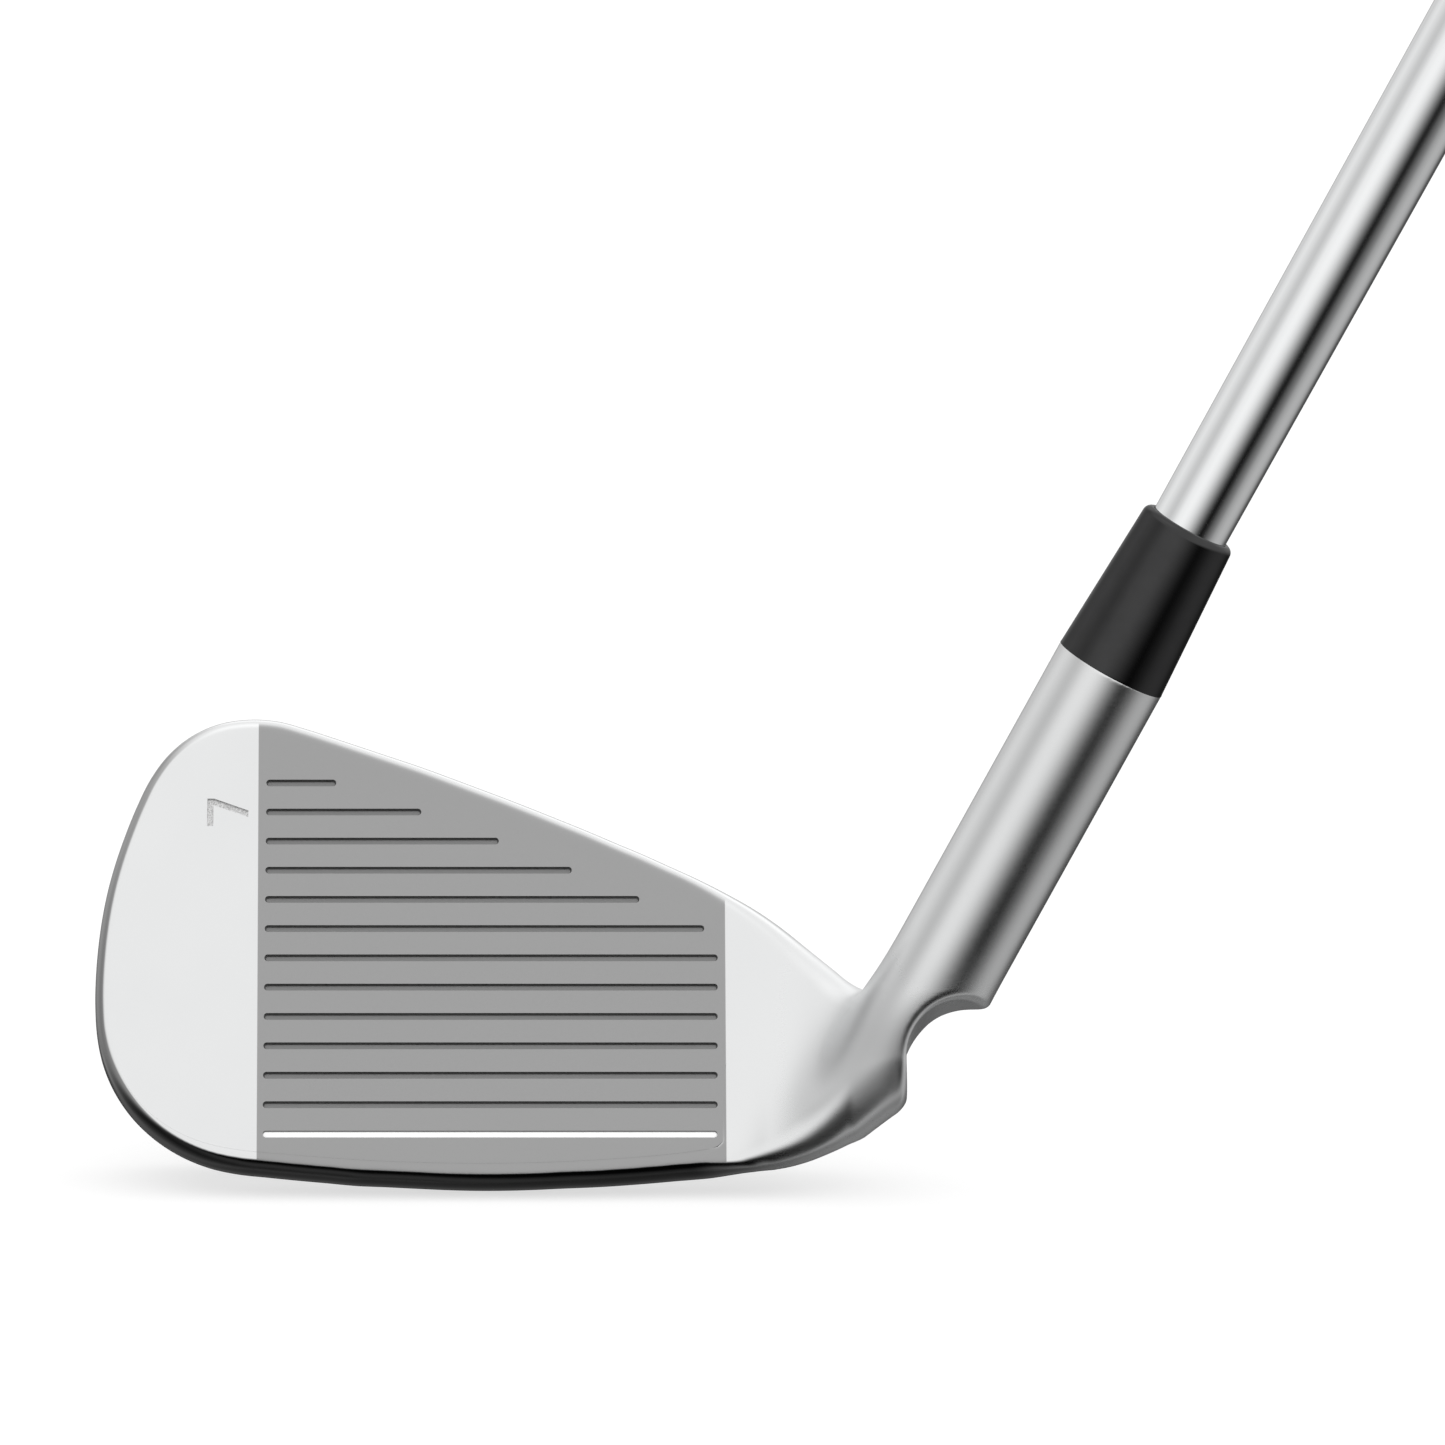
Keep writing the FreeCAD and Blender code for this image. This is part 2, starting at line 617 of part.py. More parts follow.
def make_shaft():
    """Tapered tip, then equal steps in radius up to the butt, hollow throughout."""
    step_growth = tip_growth(dims.first_step)
    rise = dims.butt_dia / 2 - dims.tip_dia / 2 - step_growth
    outer = [(dim(TIP_RADIUS), dim("tip_end", plus=0.4)),
             (dim(TIP_RADIUS, plus=step_growth), dim("first_step"))]
    for k in range(STEP_COUNT):
        steps_left = STEP_COUNT - 1 - k
        radius = dim(BUTT_RADIUS, plus=-round(steps_left * rise / STEP_COUNT, 5))
        outer.append((radius, dim("first_step", (k, "step_len"), plus=STEP_RAMP)))
        if steps_left:
            outer.append((radius, dim("first_step", (k + 1, "step_len"))))
    outer.append((dim(BUTT_RADIUS), dim("butt_end")))
    butt_bore = dim(BUTT_RADIUS, (-1, "butt_wall"))
    inner = [
        (butt_bore, dim("butt_end")),
        (butt_bore, dim("first_step", (STEP_COUNT, "step_len"))),
        (dim(TIP_RADIUS, plus=step_growth - 0.5), dim("first_step", plus=-6)),
        (dim("tip_bore"), dim("hosel_top", plus=20)),
        (dim("tip_bore"), dim("tip_end")),
        (dim(TIP_RADIUS, plus=-0.4), dim("tip_end"))]
    return revolved("shaft", outer + inner)


def make_tip_weight():
    """Swing weight: a flange under the shaft tip and a stem inside it."""
    flange = dim(TIP_RADIUS, plus=-0.3)
    return revolved("tip_weight", [
        (ON_AXIS, dim("bore_floor", plus=0.15)),
        (flange, dim("bore_floor", plus=0.15)),
        (flange, dim("bore_floor", "weight_flange")),
        (dim("weight_stem"), dim("bore_floor", "weight_flange", plus=0.3)),
        (dim("weight_stem"), dim("bore_floor", "weight_len", plus=-1)),
        (dim("weight_stem", plus=-1), dim("bore_floor", "weight_len")),
        (ON_AXIS, dim("bore_floor", "weight_len"))])


def make_epoxy():
    """Glue sleeve between hosel bore and shaft, with the small cone at the mouth."""
    low = dim("tip_end", plus=0.4)
    high = dim("hosel_top", plus=-0.01)
    return revolved("hosel_epoxy", [
        (dim(TIP_RADIUS, plus=0.005), low),
        (dim(TIP_RADIUS, "glue_gap", plus=-0.005), low),
        (dim(TIP_RADIUS, "glue_gap", plus=MOUTH_GROWTH - 0.005),
         dim("hosel_top", (-1, "mouth_cone"))),
        (dim(TIP_RADIUS, "glue_gap", "mouth_cone", plus=MOUTH_GROWTH - 0.02), high),
        (dim(TIP_RADIUS, plus=MOUTH_GROWTH + 0.005), high)])


def make_ferrule():
    """Tapered collar with a rounded upper rim, on the shaft above the hosel."""
    clearance = 0.03
    top = dims.hosel_top + dims.ferrule_len
    return revolved("ferrule", [
        (dim(TIP_RADIUS, plus=MOUTH_GROWTH + clearance), dim("hosel_top")),
        (dim((0.5, "ferrule_base")), dim("hosel_top")),
        (dim((0.5, "ferrule_neck")), dim("hosel_top", "ferrule_len")),
        (dim(TIP_RADIUS, plus=tip_growth(top) + clearance), dim("hosel_top", "ferrule_len")),
    ], rim=(dims.ferrule_neck / 2, top, "ferrule_lip"))


def make_band():
    inner = dim(BUTT_RADIUS, plus=0.005)
    outer = dim(BUTT_RADIUS, "film")
    low, high = dim("band_low"), dim("band_low", "band_len")
    return revolved("shaft_band", [(inner, low), (outer, low), (outer, high), (inner, high)])


def make_tape():
    """Tape round the butt, folded over its end and tucked inside."""
    on_shaft = dim(BUTT_RADIUS, plus=0.005)
    outer = dim(BUTT_RADIUS, "tape")
    in_bore = dim(BUTT_RADIUS, (-1, "butt_wall"), plus=-0.005)
    tucked = dim(BUTT_RADIUS, (-1, "butt_wall"), (-1, "tape"))
    top = dim("butt_end", "tape", plus=-0.01)
    fold = dim("butt_end", plus=0.005)
    tuck_end = dim("butt_end", (-1, "tape_tuck"))
    return revolved("grip_tape", [
        (on_shaft, dim("tape_low")), (outer, dim("tape_low")), (outer, top), (tucked, top),
        (tucked, tuck_end), (in_bore, tuck_end), (in_bore, fold), (on_shaft, fold)])


def make_grip():
    end = dim("cap_low", plus=-0.02)
    return revolved("grip_sleeve", [
        (dim("grip_fit", plus=-0.35), dim("grip_low")),
        (dim((0.5, "grip_mouth"), plus=-0.35), dim("grip_low")),
        (dim((0.5, "grip_mouth")), dim("grip_low", plus=0.8)),
        (dim((0.5, "grip_mouth")), dim("grip_low", plus=4.0)),
        (dim((0.5, "grip_mid")), dim("grip_low", plus=120)),
        (dim((0.5, "grip_butt"), plus=-1.35), dim("cap_low", plus=-50)),
        (dim((0.5, "grip_butt")), dim("cap_low", plus=-14)),
        (dim((0.5, "grip_butt")), end),
        (dim("grip_fit"), end),
        (dim("grip_fit"), dim("tape_low")),
        (dim("grip_fit", plus=-0.35), dim("tape_low", plus=-1.0))])


def make_cap():
    """Grip cap with a vent hole and a rounded outer rim."""
    vent, outer = dim("vent_radius"), dim((0.5, "cap_dia"))
    low, high = dim("cap_low"), dim("club_len")
    return revolved("grip_cap", [(vent, low), (outer, low), (outer, high), (vent, high)],
                    rim=(dims.cap_dia / 2, dims.club_len, "cap_round"))


# ------------------------------------------------------------------ build, check and write
MAKERS = [make_head, make_plate, make_paint, make_glue, make_damper, make_carrier, make_badge,
          make_inlays, make_screw, make_shaft, make_tip_weight, make_epoxy, make_ferrule,
          make_band, make_tape, make_grip, make_cap]
pieces = [make() for make in MAKERS]
doc.recompute()

failed = [o.Name for o in doc.Objects if any(s in ("Invalid", "Error") for s in o.State)]
if failed:
    raise SystemExit(f"objects failed to build: {failed}")
os.makedirs("parts", exist_ok=True)
for piece in pieces:
    shape = piece.Shape
    if shape.isNull() or not shape.isValid() or not shape.Solids:
        raise SystemExit(f"{piece.Label} has no valid solid")
    shape.exportStep(f"parts/{piece.Label}.step")
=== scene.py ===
# An iron golf club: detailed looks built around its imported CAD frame.
# The frame is in metres, +Z up. The sole rests on z = 0, the face looks to the front (-Y), the toe
# points to -X, and the shaft rises towards +X. Modelling is in millimetres and is scaled once.
import math
from types import SimpleNamespace
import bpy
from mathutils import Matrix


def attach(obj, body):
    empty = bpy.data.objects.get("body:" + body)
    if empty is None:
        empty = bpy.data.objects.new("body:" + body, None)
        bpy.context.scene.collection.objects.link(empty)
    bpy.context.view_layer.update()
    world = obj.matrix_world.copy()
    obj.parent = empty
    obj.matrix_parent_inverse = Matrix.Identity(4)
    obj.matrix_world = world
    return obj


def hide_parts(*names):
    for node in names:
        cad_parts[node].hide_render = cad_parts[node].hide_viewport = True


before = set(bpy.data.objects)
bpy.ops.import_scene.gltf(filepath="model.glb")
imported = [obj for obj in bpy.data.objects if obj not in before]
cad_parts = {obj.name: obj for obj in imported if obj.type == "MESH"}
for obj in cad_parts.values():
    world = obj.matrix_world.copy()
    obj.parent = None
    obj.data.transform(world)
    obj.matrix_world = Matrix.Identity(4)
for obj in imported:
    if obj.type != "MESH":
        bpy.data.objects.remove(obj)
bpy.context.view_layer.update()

import bpy
import numpy as np
import openvdb

MILLI = 0.001
SIN_LOFT, COS_LOFT = 0.5, 0.8660254
FACE_Y = -10.2                                # face plane meets the ground here
SHAFT_X, SHAFT_Y = 39.24, -5.5                # shaft line meets the ground here
LIE = math.radians(61.5)
AXIS = np.array([math.cos(LIE), 0.0, math.sin(LIE)])
ACROSS = (math.sin(LIE), 0.0, -math.cos(LIE))  # square to the shaft line, to +X and down
BACKWARD = (0.0, 1.0, 0.0)

# distances along the shaft line from the ground
TIP_END, HOSEL_TOP, FERRULE_TOP, GRIP_START, BUTT_END = 40.4, 72.1, 91.1, 672.8, 934.6

# ================================================================ head: distance field
# Outline of the blade in the plane of the face: (X, distance up the face). It runs from the heel
# over the topline, round the toe, along the sole, and closes inside the neck.
OUTLINE = [
    (43.6, 27.4), (40.6, 30.5), (37.5, 33.3), (34.45, 35.74), (31.43, 37.73), (28.25, 39.45),
    (25.02, 41.05), (21.76, 42.57), (18.5, 44.13), (15.21, 45.59), (11.92, 47.08), (8.61, 48.50),
    (5.29, 49.91), (1.95, 51.29), (-1.4, 52.62), (-4.75, 53.95), (-8.12, 55.25), (-11.52, 56.46),
    (-14.92, 57.66), (-18.33, 58.86), (-21.75, 60.03), (-25.2, 61.02), (-28.75, 61.23),
    (-32.22, 60.64), (-35.44, 59.08), (-38.15, 56.67), (-40.23, 53.63), (-41.78, 50.24),
    (-43.08, 46.74), (-44.21, 43.17), (-45.12, 39.55), (-45.77, 35.86), (-46.19, 32.14),
    (-46.41, 28.39), (-46.42, 24.65), (-46.14, 20.93), (-45.31, 17.33), (-43.87, 13.98),
    (-41.83, 10.98), (-39.25, 8.47), (-36.26, 6.51), (-32.98, 5.12), (-29.53, 4.32),
    (-26.01, 3.92), (-22.48, 3.55), (-18.95, 3.22), (-15.43, 2.88), (-11.89, 2.72), (-8.35, 2.54),
    (-4.82, 2.37), (-1.28, 2.28), (2.26, 2.29), (5.8, 2.39), (9.34, 2.56), (12.87, 2.71),
    (16.41, 2.94), (19.93, 3.23), (23.46, 3.55), (26.98, 3.75), (30.5, 3.3), (34.0, 1.5),
    (38.0, -2.5), (43.0, -6.0), (56.0, -6.0), (58.0, 10.0), (54.0, 19.0), (48.0, 24.0)]
SOLE_UP = 2.28                                # lowest point of the outline under the blade

# Underside of the heel seen from the front, closed far above: (X, Z).
HEEL_LINE = [
    (-60.0, -9.0), (-20.0, -5.0), (10.0, -2.2), (20.0, -0.4), (24.0, 1.2), (27.0, 2.45),
    (30.0, 2.7), (34.0, 2.83), (37.4, 3.35), (40.7, 4.5), (43.9, 6.02), (46.6, 7.62), (49.2, 8.85),
    (52.0, 9.7), (56.0, 10.2), (62.0, 9.5), (72.0, 8.0), (90.0, 6.0), (110.0, 30.0),
    (110.0, 120.0), (60.0, 150.0), (0.0, 150.0), (-60.0, 120.0), (-80.0, 60.0)]
# Edge radius of that cut at stations along X.
HEEL_ROUND_X = [24, 28, 32, 37, 43, 48, 56]
HEEL_ROUND = [0.8, 2.2, 4.2, 6.6, 8.8, 9.0, 7.5]

# Back of the blade in section: (distance up the face, distance behind it).
BACK_PROFILE = [
    (-30.0, 19.5), (13.0, 19.5), (15.5, 18.6), (17.2, 17.2), (18.6, 15.0), (19.8, 12.4),
    (21.2, 10.95), (23.4, 10.05), (28.0, 9.0), (35.0, 8.0), (44.0, 7.1), (54.0, 6.5), (90.0, 6.0),
    (90.0, -30.0), (-30.0, -30.0)]

# Tangent arcs of the sole from the ground contact: (radius, normal angle from, to) in degrees.
SOLE_FRONT = [(29.3, -90, -80), (4.4, -80, -33), (1.8, -33, -8), (0.5, -8, 30)]
SOLE_BACK = [(70, -90, -96), (18, -96, -109), (2.4, -109, -200)]

FACE_INSET = 0.02                             # face surface behind the face plane
BACK_ROUND = 0.9
RIM_HEEL = 2.2                                # extra rim radius towards the neck
HOSEL_RADIUS = 6.73
# low part of the neck: shift towards +X, shift back, slimming, height range it fades over
NECK_SHIFT, NECK_BACK, NECK_SLIM = 1.5, 0.6, 1.5
NECK_FADE = (7.0, 26.0)
BLEND_LOW, BLEND_TOP = 18.0, 16.0             # blend widths of neck and blade
PORT_X, PORT_BEHIND = -22.0, 11.0             # centre of the tuning port


def dense(points, per_span):
    """Closed Catmull-Rom curve through the points."""
    pts = np.array(points, float)
    curve = []
    for i, start in enumerate(pts):
        before, end, after = pts[i - 1], pts[(i + 1) % len(pts)], pts[(i + 2) % len(pts)]
        square = 2 * before - 5 * start + 4 * end - after
        cube = 3 * start - before - 3 * end + after
        for k in range(per_span):
            part = k / per_span
            curve.append(0.5 * ((2 * start) + (end - before) * part + square * part * part
                                + cube * part ** 3))
    return np.array(curve)


def polygon_distance(polygon, x, y):
    """Signed distance to a closed polygon, negative inside."""
    nearest = np.full(x.shape, 1e9)
    inside = np.zeros(x.shape, bool)
    for i, (x0, y0) in enumerate(polygon):
        x1, y1 = polygon[(i + 1) % len(polygon)]
        edge_x, edge_y = x1 - x0, y1 - y0
        square = edge_x * edge_x + edge_y * edge_y
        part = np.clip(((x - x0) * edge_x + (y - y0) * edge_y) / square, 0, 1)
        gap = (x - x0 - part * edge_x) ** 2 + (y - y0 - part * edge_y) ** 2
        nearest = np.minimum(nearest, gap)
        if y0 != y1:
            crosses = (y0 > y) != (y1 > y)
            inside ^= crosses & (x < edge_x * (y - y0) / edge_y + x0)
    return np.where(inside, -1, 1) * np.sqrt(nearest)


def smooth_union(first, second, width):
    """Union with a soft-starting cubic blend."""
    mix = np.maximum(width - np.abs(first - second), 0) / width
    return np.minimum(first, second) - mix * mix * mix * (width / 6.0)


def round_max(first, second, radius):
    """Intersection whose convex edge is rounded."""
    over1, over2 = np.maximum(first + radius, 0), np.maximum(second + radius, 0)
    return np.minimum(np.maximum(first, second), -radius) + np.sqrt(over1 * over1 + over2 * over2)


def smooth_step(x, start, end):
    part = np.clip((x - start) / (end - start), 0, 1)
    return part * part * (3 - 2 * part)


def arc_chain(arcs):
    """(Y, Z) points along tangent arcs from the origin; a normal is (-cos, sin) of its angle."""
    y, z = 0.0, 0.0
    points = [(y, z)]
    for radius, start, end in arcs:
        count = max(2, int(abs(end - start) / 4))
        for k in range(1, count + 1):
            here = np.radians(start + (end - start) * k / count)
            last = np.radians(start + (end - start) * (k - 1) / count)
            y += radius * (-np.cos(here) + np.cos(last))
            z += radius * (np.sin(here) - np.sin(last))
            points.append((y, z))
    return points


def head_grid(spacing):
    """Grid along the face (x), up it and back from it, with each point's place in the frame (y, z)
    and about the shaft line (along, radius)."""
    grid = SimpleNamespace(spacing=spacing)
    grid.xs = np.arange(-48.0, 81.0, spacing)
    grid.ups = np.arange(-1.0, 65.0, spacing)
    grid.backs = np.arange(-36.0, 20.5, spacing)
    grid.plan = np.meshgrid(grid.xs, grid.ups, indexing="ij")
    grid.outline = polygon_distance(dense(OUTLINE, 9), *grid.plan)
    grid.x = grid.xs.astype(np.float32)[:, None, None]
    grid.up = grid.ups.astype(np.float32)[None, :, None]
    grid.back = grid.backs.astype(np.float32)[None, None, :]
    grid.y = FACE_Y + grid.up * SIN_LOFT + grid.back * COS_LOFT
    grid.z = grid.up * COS_LOFT - grid.back * SIN_LOFT
    from_x, from_y = grid.x - SHAFT_X, grid.y - SHAFT_Y
    grid.along = from_x * AXIS[0] + grid.z * AXIS[2]
    grid.radius = np.sqrt(np.maximum(from_x * from_x + from_y * from_y + grid.z * grid.z
                                     - grid.along * grid.along, 1e-9))
    return grid


def sole_field(grid):
    """Sole section swept along the outline."""
    section = arc_chain(SOLE_FRONT)[::-1] + arc_chain(SOLE_BACK)[1:]
    section = [((y - FACE_Y) * SIN_LOFT + z * COS_LOFT, (y - FACE_Y) * COS_LOFT - z * SIN_LOFT)
               for y, z in section]
    # start on the face plane and close far up the blade
    section = ([(90.0, 0.0), (section[0][0], 0.0)] + section[1:]
               + [(90.0, section[-1][1] + 0.3)])
    half = grid.spacing / 2
    ups = np.arange(-8.0, 45.0, half)
    up, back = np.meshgrid(ups, grid.backs, indexing="ij")
    table = polygon_distance(np.array(section), up, back - FACE_INSET).astype(np.float32)
    # look the section up at the distance in from the outline
    inward = np.clip(SOLE_UP - grid.outline, ups[0], ups[-1] - grid.spacing)
    place = (inward - ups[0]) / half
    row = place.astype(int)
    part = (place - row).astype(np.float32)[..., None]
    return table[row] * (1 - part) + table[np.minimum(row + 1, len(ups) - 1)] * part


def blade_fields(grid):
    """The blade with its sole section, and the blade with a plain rounded rim and a flat-cut
    back."""
    x, up = grid.plan
    rising = np.gradient(grid.outline, grid.spacing, axis=1)
    low = smooth_step(-rising, -0.05, 0.85)            # 1 along the sole, 0 at toe and topline
    low = low * (1 - smooth_step(up, 24, 30))          # only on the lower part of the blade
    rim_round = 1.4 + 0.5 * np.clip(rising, 0, 1) ** 2 + RIM_HEEL * smooth_step(x, 22.0, 40.0)
    rim = round_max(grid.outline.astype(np.float32)[..., None], FACE_INSET - grid.back,
                    rim_round.astype(np.float32)[..., None])
    section = np.meshgrid(grid.ups, grid.backs, indexing="ij")
    back = polygon_distance(np.array(BACK_PROFILE), *section).astype(np.float32)[None]
    low = low.astype(np.float32)[..., None]
    with_sole = round_max(rim + low * (sole_field(grid) - rim), back, BACK_ROUND)
    wall = round_max(back, grid.back - 16.14, BACK_ROUND)
    return with_sole, round_max(rim, wall, BACK_ROUND)


def hosel_field(grid):
    """Cylinder about the shaft line, slimmer and shifted below the notch."""
    thin = 1.0 - smooth_step(grid.z, *NECK_FADE)
    side = (grid.x - SHAFT_X) * AXIS[2] - grid.z * AXIS[0] - NECK_SHIFT * thin
    back = grid.y - SHAFT_Y - NECK_BACK * thin
    return np.sqrt(side * side + back * back) - (HOSEL_RADIUS - NECK_SLIM * thin)


def heel_line_field(grid):
    """Region above the heel line, which lifts a little towards the back."""
    heights = np.arange(-12.0, 70.0, grid.spacing)
    x, z = np.meshgrid(grid.xs, heights, indexing="ij")
    table = polygon_distance(dense(HEEL_LINE, 5), x, z).astype(np.float32)
    lowered = grid.z - np.maximum(grid.y, 0) ** 2 / 110
    place = np.clip((lowered - heights[0]) / grid.spacing, 0, len(heights) - 2)
    column = place.astype(np.int32)
    part = (place - column).astype(np.float32)
    rows = np.arange(len(grid.xs))[:, None, None]
    return table[rows, column] * (1 - part) + table[rows, column + 1] * part


def notch_field(grid):
    """Notch on the +X side of the neck: open channel below, round end above."""
    normal = np.array([-0.015, 0.947, -0.320])
    normal /= np.linalg.norm(normal)
    across = np.array([1.0, 0, 0]) - normal * normal[0]
    across /= np.linalg.norm(across)
    lift = np.cross(across, normal)
    x, y, z = grid.x - 56.08, grid.y - SHAFT_Y, grid.z - 15.9
    side = x * across[0] + y * across[1] + z * across[2]
    rise = x * lift[0] + y * lift[1] + z * lift[2]
    radius = 6.6
    return np.where(rise > 0, np.sqrt(side * side + rise * rise) - radius,
                    -(side + radius + 0.05 * rise))


def head_field(grid):
    """Signed distance field of the solid head body."""
    with_sole, field = blade_fields(grid)
    blend = BLEND_LOW + (BLEND_TOP - BLEND_LOW) * smooth_step(grid.z, 3.0, 21.0)
    field = smooth_union(field, hosel_field(grid), blend.astype(np.float32))
    heel_round = np.interp(grid.xs, HEEL_ROUND_X, HEEL_ROUND).astype(np.float32)[:, None, None]
    field = round_max(field, heel_line_field(grid), heel_round)
    # the heel line takes over from the sole section
    heelward = smooth_step(grid.xs, 24.5, 33.5).astype(np.float32)[:, None, None]
    field = with_sole + heelward * (field - with_sole)
    field = round_max(field, grid.along - HOSEL_TOP, 0.25)
    notch_round = (0.9 + 1.2 * (1 - smooth_step(grid.z, 7, 13))).astype(np.float32)
    return round_max(field, -notch_field(grid), notch_round)


def cut_inside(field, grid):
    """Cut the badge pocket, window, plate seat, tuning port and shaft bore."""
    edge, back = grid.outline, grid.back
    x, up = grid.x[:, :, 0], grid.up[:, :, 0]

    def opening(inset, floor_up, heel_x, corner):
        shape = round_max(round_max(edge + inset, floor_up - up, corner), x - heel_x, corner)
        return shape.astype(np.float32)[..., None]

    pocket = opening(5.6, 16.6, 30.0, 5.0)
    field = round_max(field, -np.maximum(pocket, 4.4 - back), 0.45)
    window = opening(7.8, 18.8, 28.0, 4.0)
    field = np.maximum(field, -np.maximum(window, -5 - back))
    heel_x = 27.7
    chamfer = ((x - heel_x) - (up - 7.25)) * 0.7071 + 0.35
    seat = np.maximum(np.maximum(edge + 3.5, x - heel_x), chamfer).astype(np.float32)[..., None]
    field = np.maximum(field, -np.maximum(seat, back - 2.5))
    field = np.maximum(field, -np.maximum(seat - 0.22, back - 0.12))   # relief at the plate's edge
    port = np.sqrt((grid.x - PORT_X) ** 2 + (back - PORT_BEHIND) ** 2) - 2.72
    field = round_max(field, -np.maximum(port, 11.0 - grid.up), 0.15)
    bore = grid.radius - (4.6285 + 0.00375 * (grid.along - TIP_END))
    cone = grid.radius - (4.75 + (grid.along - 71.4))
    return np.maximum(field, -np.maximum(np.minimum(bore, cone), 38.0 - grid.along))


def sample(field, places):
    """Trilinear value of the field at grid positions."""
    cell = np.clip(np.floor(places).astype(np.int64), 0, np.array(field.shape) - 2)
    part = (places - cell).astype(np.float32)
    total = np.zeros(len(places), np.float32)
    for corner in np.ndindex(2, 2, 2):
        weight0, weight1, weight2 = np.where(corner, part, 1 - part).T
        total += weight0 * weight1 * weight2 * field[tuple((cell + corner).T)]
    return total


def slope(field, places, reach):
    result = np.empty((len(places), 3), np.float32)
    for k, offset in enumerate(np.eye(3) * reach):
        result[:, k] = sample(field, places + offset) - sample(field, places - offset)
    return result


def new_object(mesh, material):
    mesh.materials.append(material)
    obj = bpy.data.objects.new(mesh.name, mesh)
    bpy.context.scene.collection.objects.link(obj)
    return obj


def quad_object(name, verts, quads, material):
    """Smooth object from arrays of vertices and quads."""
    mesh = bpy.data.meshes.new(name)
    mesh.vertices.add(len(verts))
    mesh.vertices.foreach_set("co", np.ascontiguousarray(verts, np.float32).ravel())
    mesh.loops.add(quads.size)
    mesh.loops.foreach_set("vertex_index", np.ascontiguousarray(quads, np.int32).ravel())
    mesh.polygons.add(len(quads))
    mesh.polygons.foreach_set("loop_start", np.arange(0, quads.size, 4, dtype=np.int32))
    mesh.update(calc_edges=True)
    mesh.validate()
    mesh.shade_smooth()
    return new_object(mesh, material)


def head_object(material):
    spacing = 0.3
    grid = head_grid(spacing)
    field = cut_inside(head_field(grid), grid).astype(np.float32)
    field = np.clip(field, -4 * spacing, 4 * spacing)
    volume = openvdb.FloatGrid(float(4 * spacing))
    volume.copyFromArray(field)
    points, quads = volume.convertToQuads(isovalue=0.0)
    places = points.astype(np.float64)
    for _ in range(3):                              # move every vertex onto the surface
        gradient = slope(field, places, 0.5)
        square = np.maximum((gradient * gradient).sum(1), 1e-6)
        move = gradient * (sample(field, places) / square)[:, None]
        size = np.linalg.norm(move, axis=1)
        move *= np.minimum(1.0, 0.4 / np.maximum(size, 1e-9))[:, None]
        places = places - move
    normal = slope(field, places, 0.8)
    normal /= np.maximum(np.linalg.norm(normal, axis=1), 1e-9)[:, None]
    x, up, back = (line[0] + places[:, k] * spacing
                   for k, line in enumerate((grid.xs, grid.ups, grid.backs)))
    verts = np.stack([x, FACE_Y + up * SIN_LOFT + back * COS_LOFT,
                      up * COS_LOFT - back * SIN_LOFT], 1) * MILLI
    x, up, back = normal.T
    normal = np.stack([x, up * SIN_LOFT + back * COS_LOFT, up * COS_LOFT - back * SIN_LOFT], 1)
    # keep the outward side of each quad outward
    corner, after, before = (verts[quads[:, k]] for k in (0, 1, 3))
    facing = np.einsum("ij,ij->i", np.cross(after - corner, before - corner), normal[quads[:, 0]])
    if np.median(facing) < 0:
        quads = quads[:, ::-1]
    obj = quad_object("iron_head", verts, quads, material)
    obj.data.normals_split_custom_set_from_vertices(normal.tolist())
    return obj


# ================================================================ turned pieces
def on_shaft(radius, angle, along):
    """Frame points at a radius and angle round the shaft line and a distance along it."""
    radius, angle, along = np.broadcast_arrays(radius, angle, along)
    outward = (np.array(ACROSS) * np.cos(angle)[..., None]
               + np.array(BACKWARD) * np.sin(angle)[..., None])
    foot = np.array([SHAFT_X, SHAFT_Y, 0.0])
    return (foot + AXIS * along[..., None] + outward * radius[..., None]) * MILLI


def lathe(name, profile, material, around, sharp, shape=None):
    """Solid of revolution about the shaft line from a closed profile of (radius, distance).
    shape(radius, angle, distance) may change the radius of each point."""
    prof = np.array(profile, float)
    count = len(prof)
    angle = (np.arange(around) * 2 * math.pi / around)[None, :]
    radius = np.repeat(prof[:, :1], around, 1)
    along = np.repeat(prof[:, 1:], around, 1)
    if shape is not None:
        radius = shape(radius, angle, along)
    verts = on_shaft(radius, angle, along).reshape(-1, 3)
    i, j = np.meshgrid(np.arange(count), np.arange(around), indexing="ij")
    next_i, next_j = (i + 1) % count, (j + 1) % around
    quads = np.stack([i * around + j, i * around + next_j, next_i * around + next_j,
                      next_i * around + j], -1).reshape(-1, 4)
    area = 0.5 * np.sum(prof[:, 0] * np.roll(prof[:, 1], -1) - np.roll(prof[:, 0], -1) * prof[:, 1])
    if area < 0:
        quads = quads[:, ::-1]
    obj = quad_object(name, verts, quads, material)
    obj.data.set_sharp_from_angle(angle=math.radians(sharp))
    return obj


def rounded(points, radii, steps):
    """Closed profile with each corner rounded by its radius."""
    profile = []
    for k, radius in enumerate(radii):
        before, corner, after = (np.array(points[(k + d) % len(points)], float) for d in (-1, 0, 1))
        if radius <= 0:
            profile.append(tuple(corner))
            continue
        way_in = (before - corner) / np.linalg.norm(before - corner)
        way_out = (after - corner) / np.linalg.norm(after - corner)
        half = math.acos(max(-1, min(1, float(way_in @ way_out)))) / 2
        reach = radius / math.tan(half)
        middle = (way_in + way_out) / np.linalg.norm(way_in + way_out)
        centre = corner + middle * (radius / math.sin(half))
        start, end = corner + way_in * reach - centre, corner + way_out * reach - centre
        angle = math.atan2(start[1], start[0])
        turn = (math.atan2(end[1], end[0]) - angle + math.pi) % (2 * math.pi) - math.pi
        for q in range(steps + 1):
            here = angle + turn * q / steps
            profile.append((centre[0] + radius * math.cos(here),
                            centre[1] + radius * math.sin(here)))
    return profile


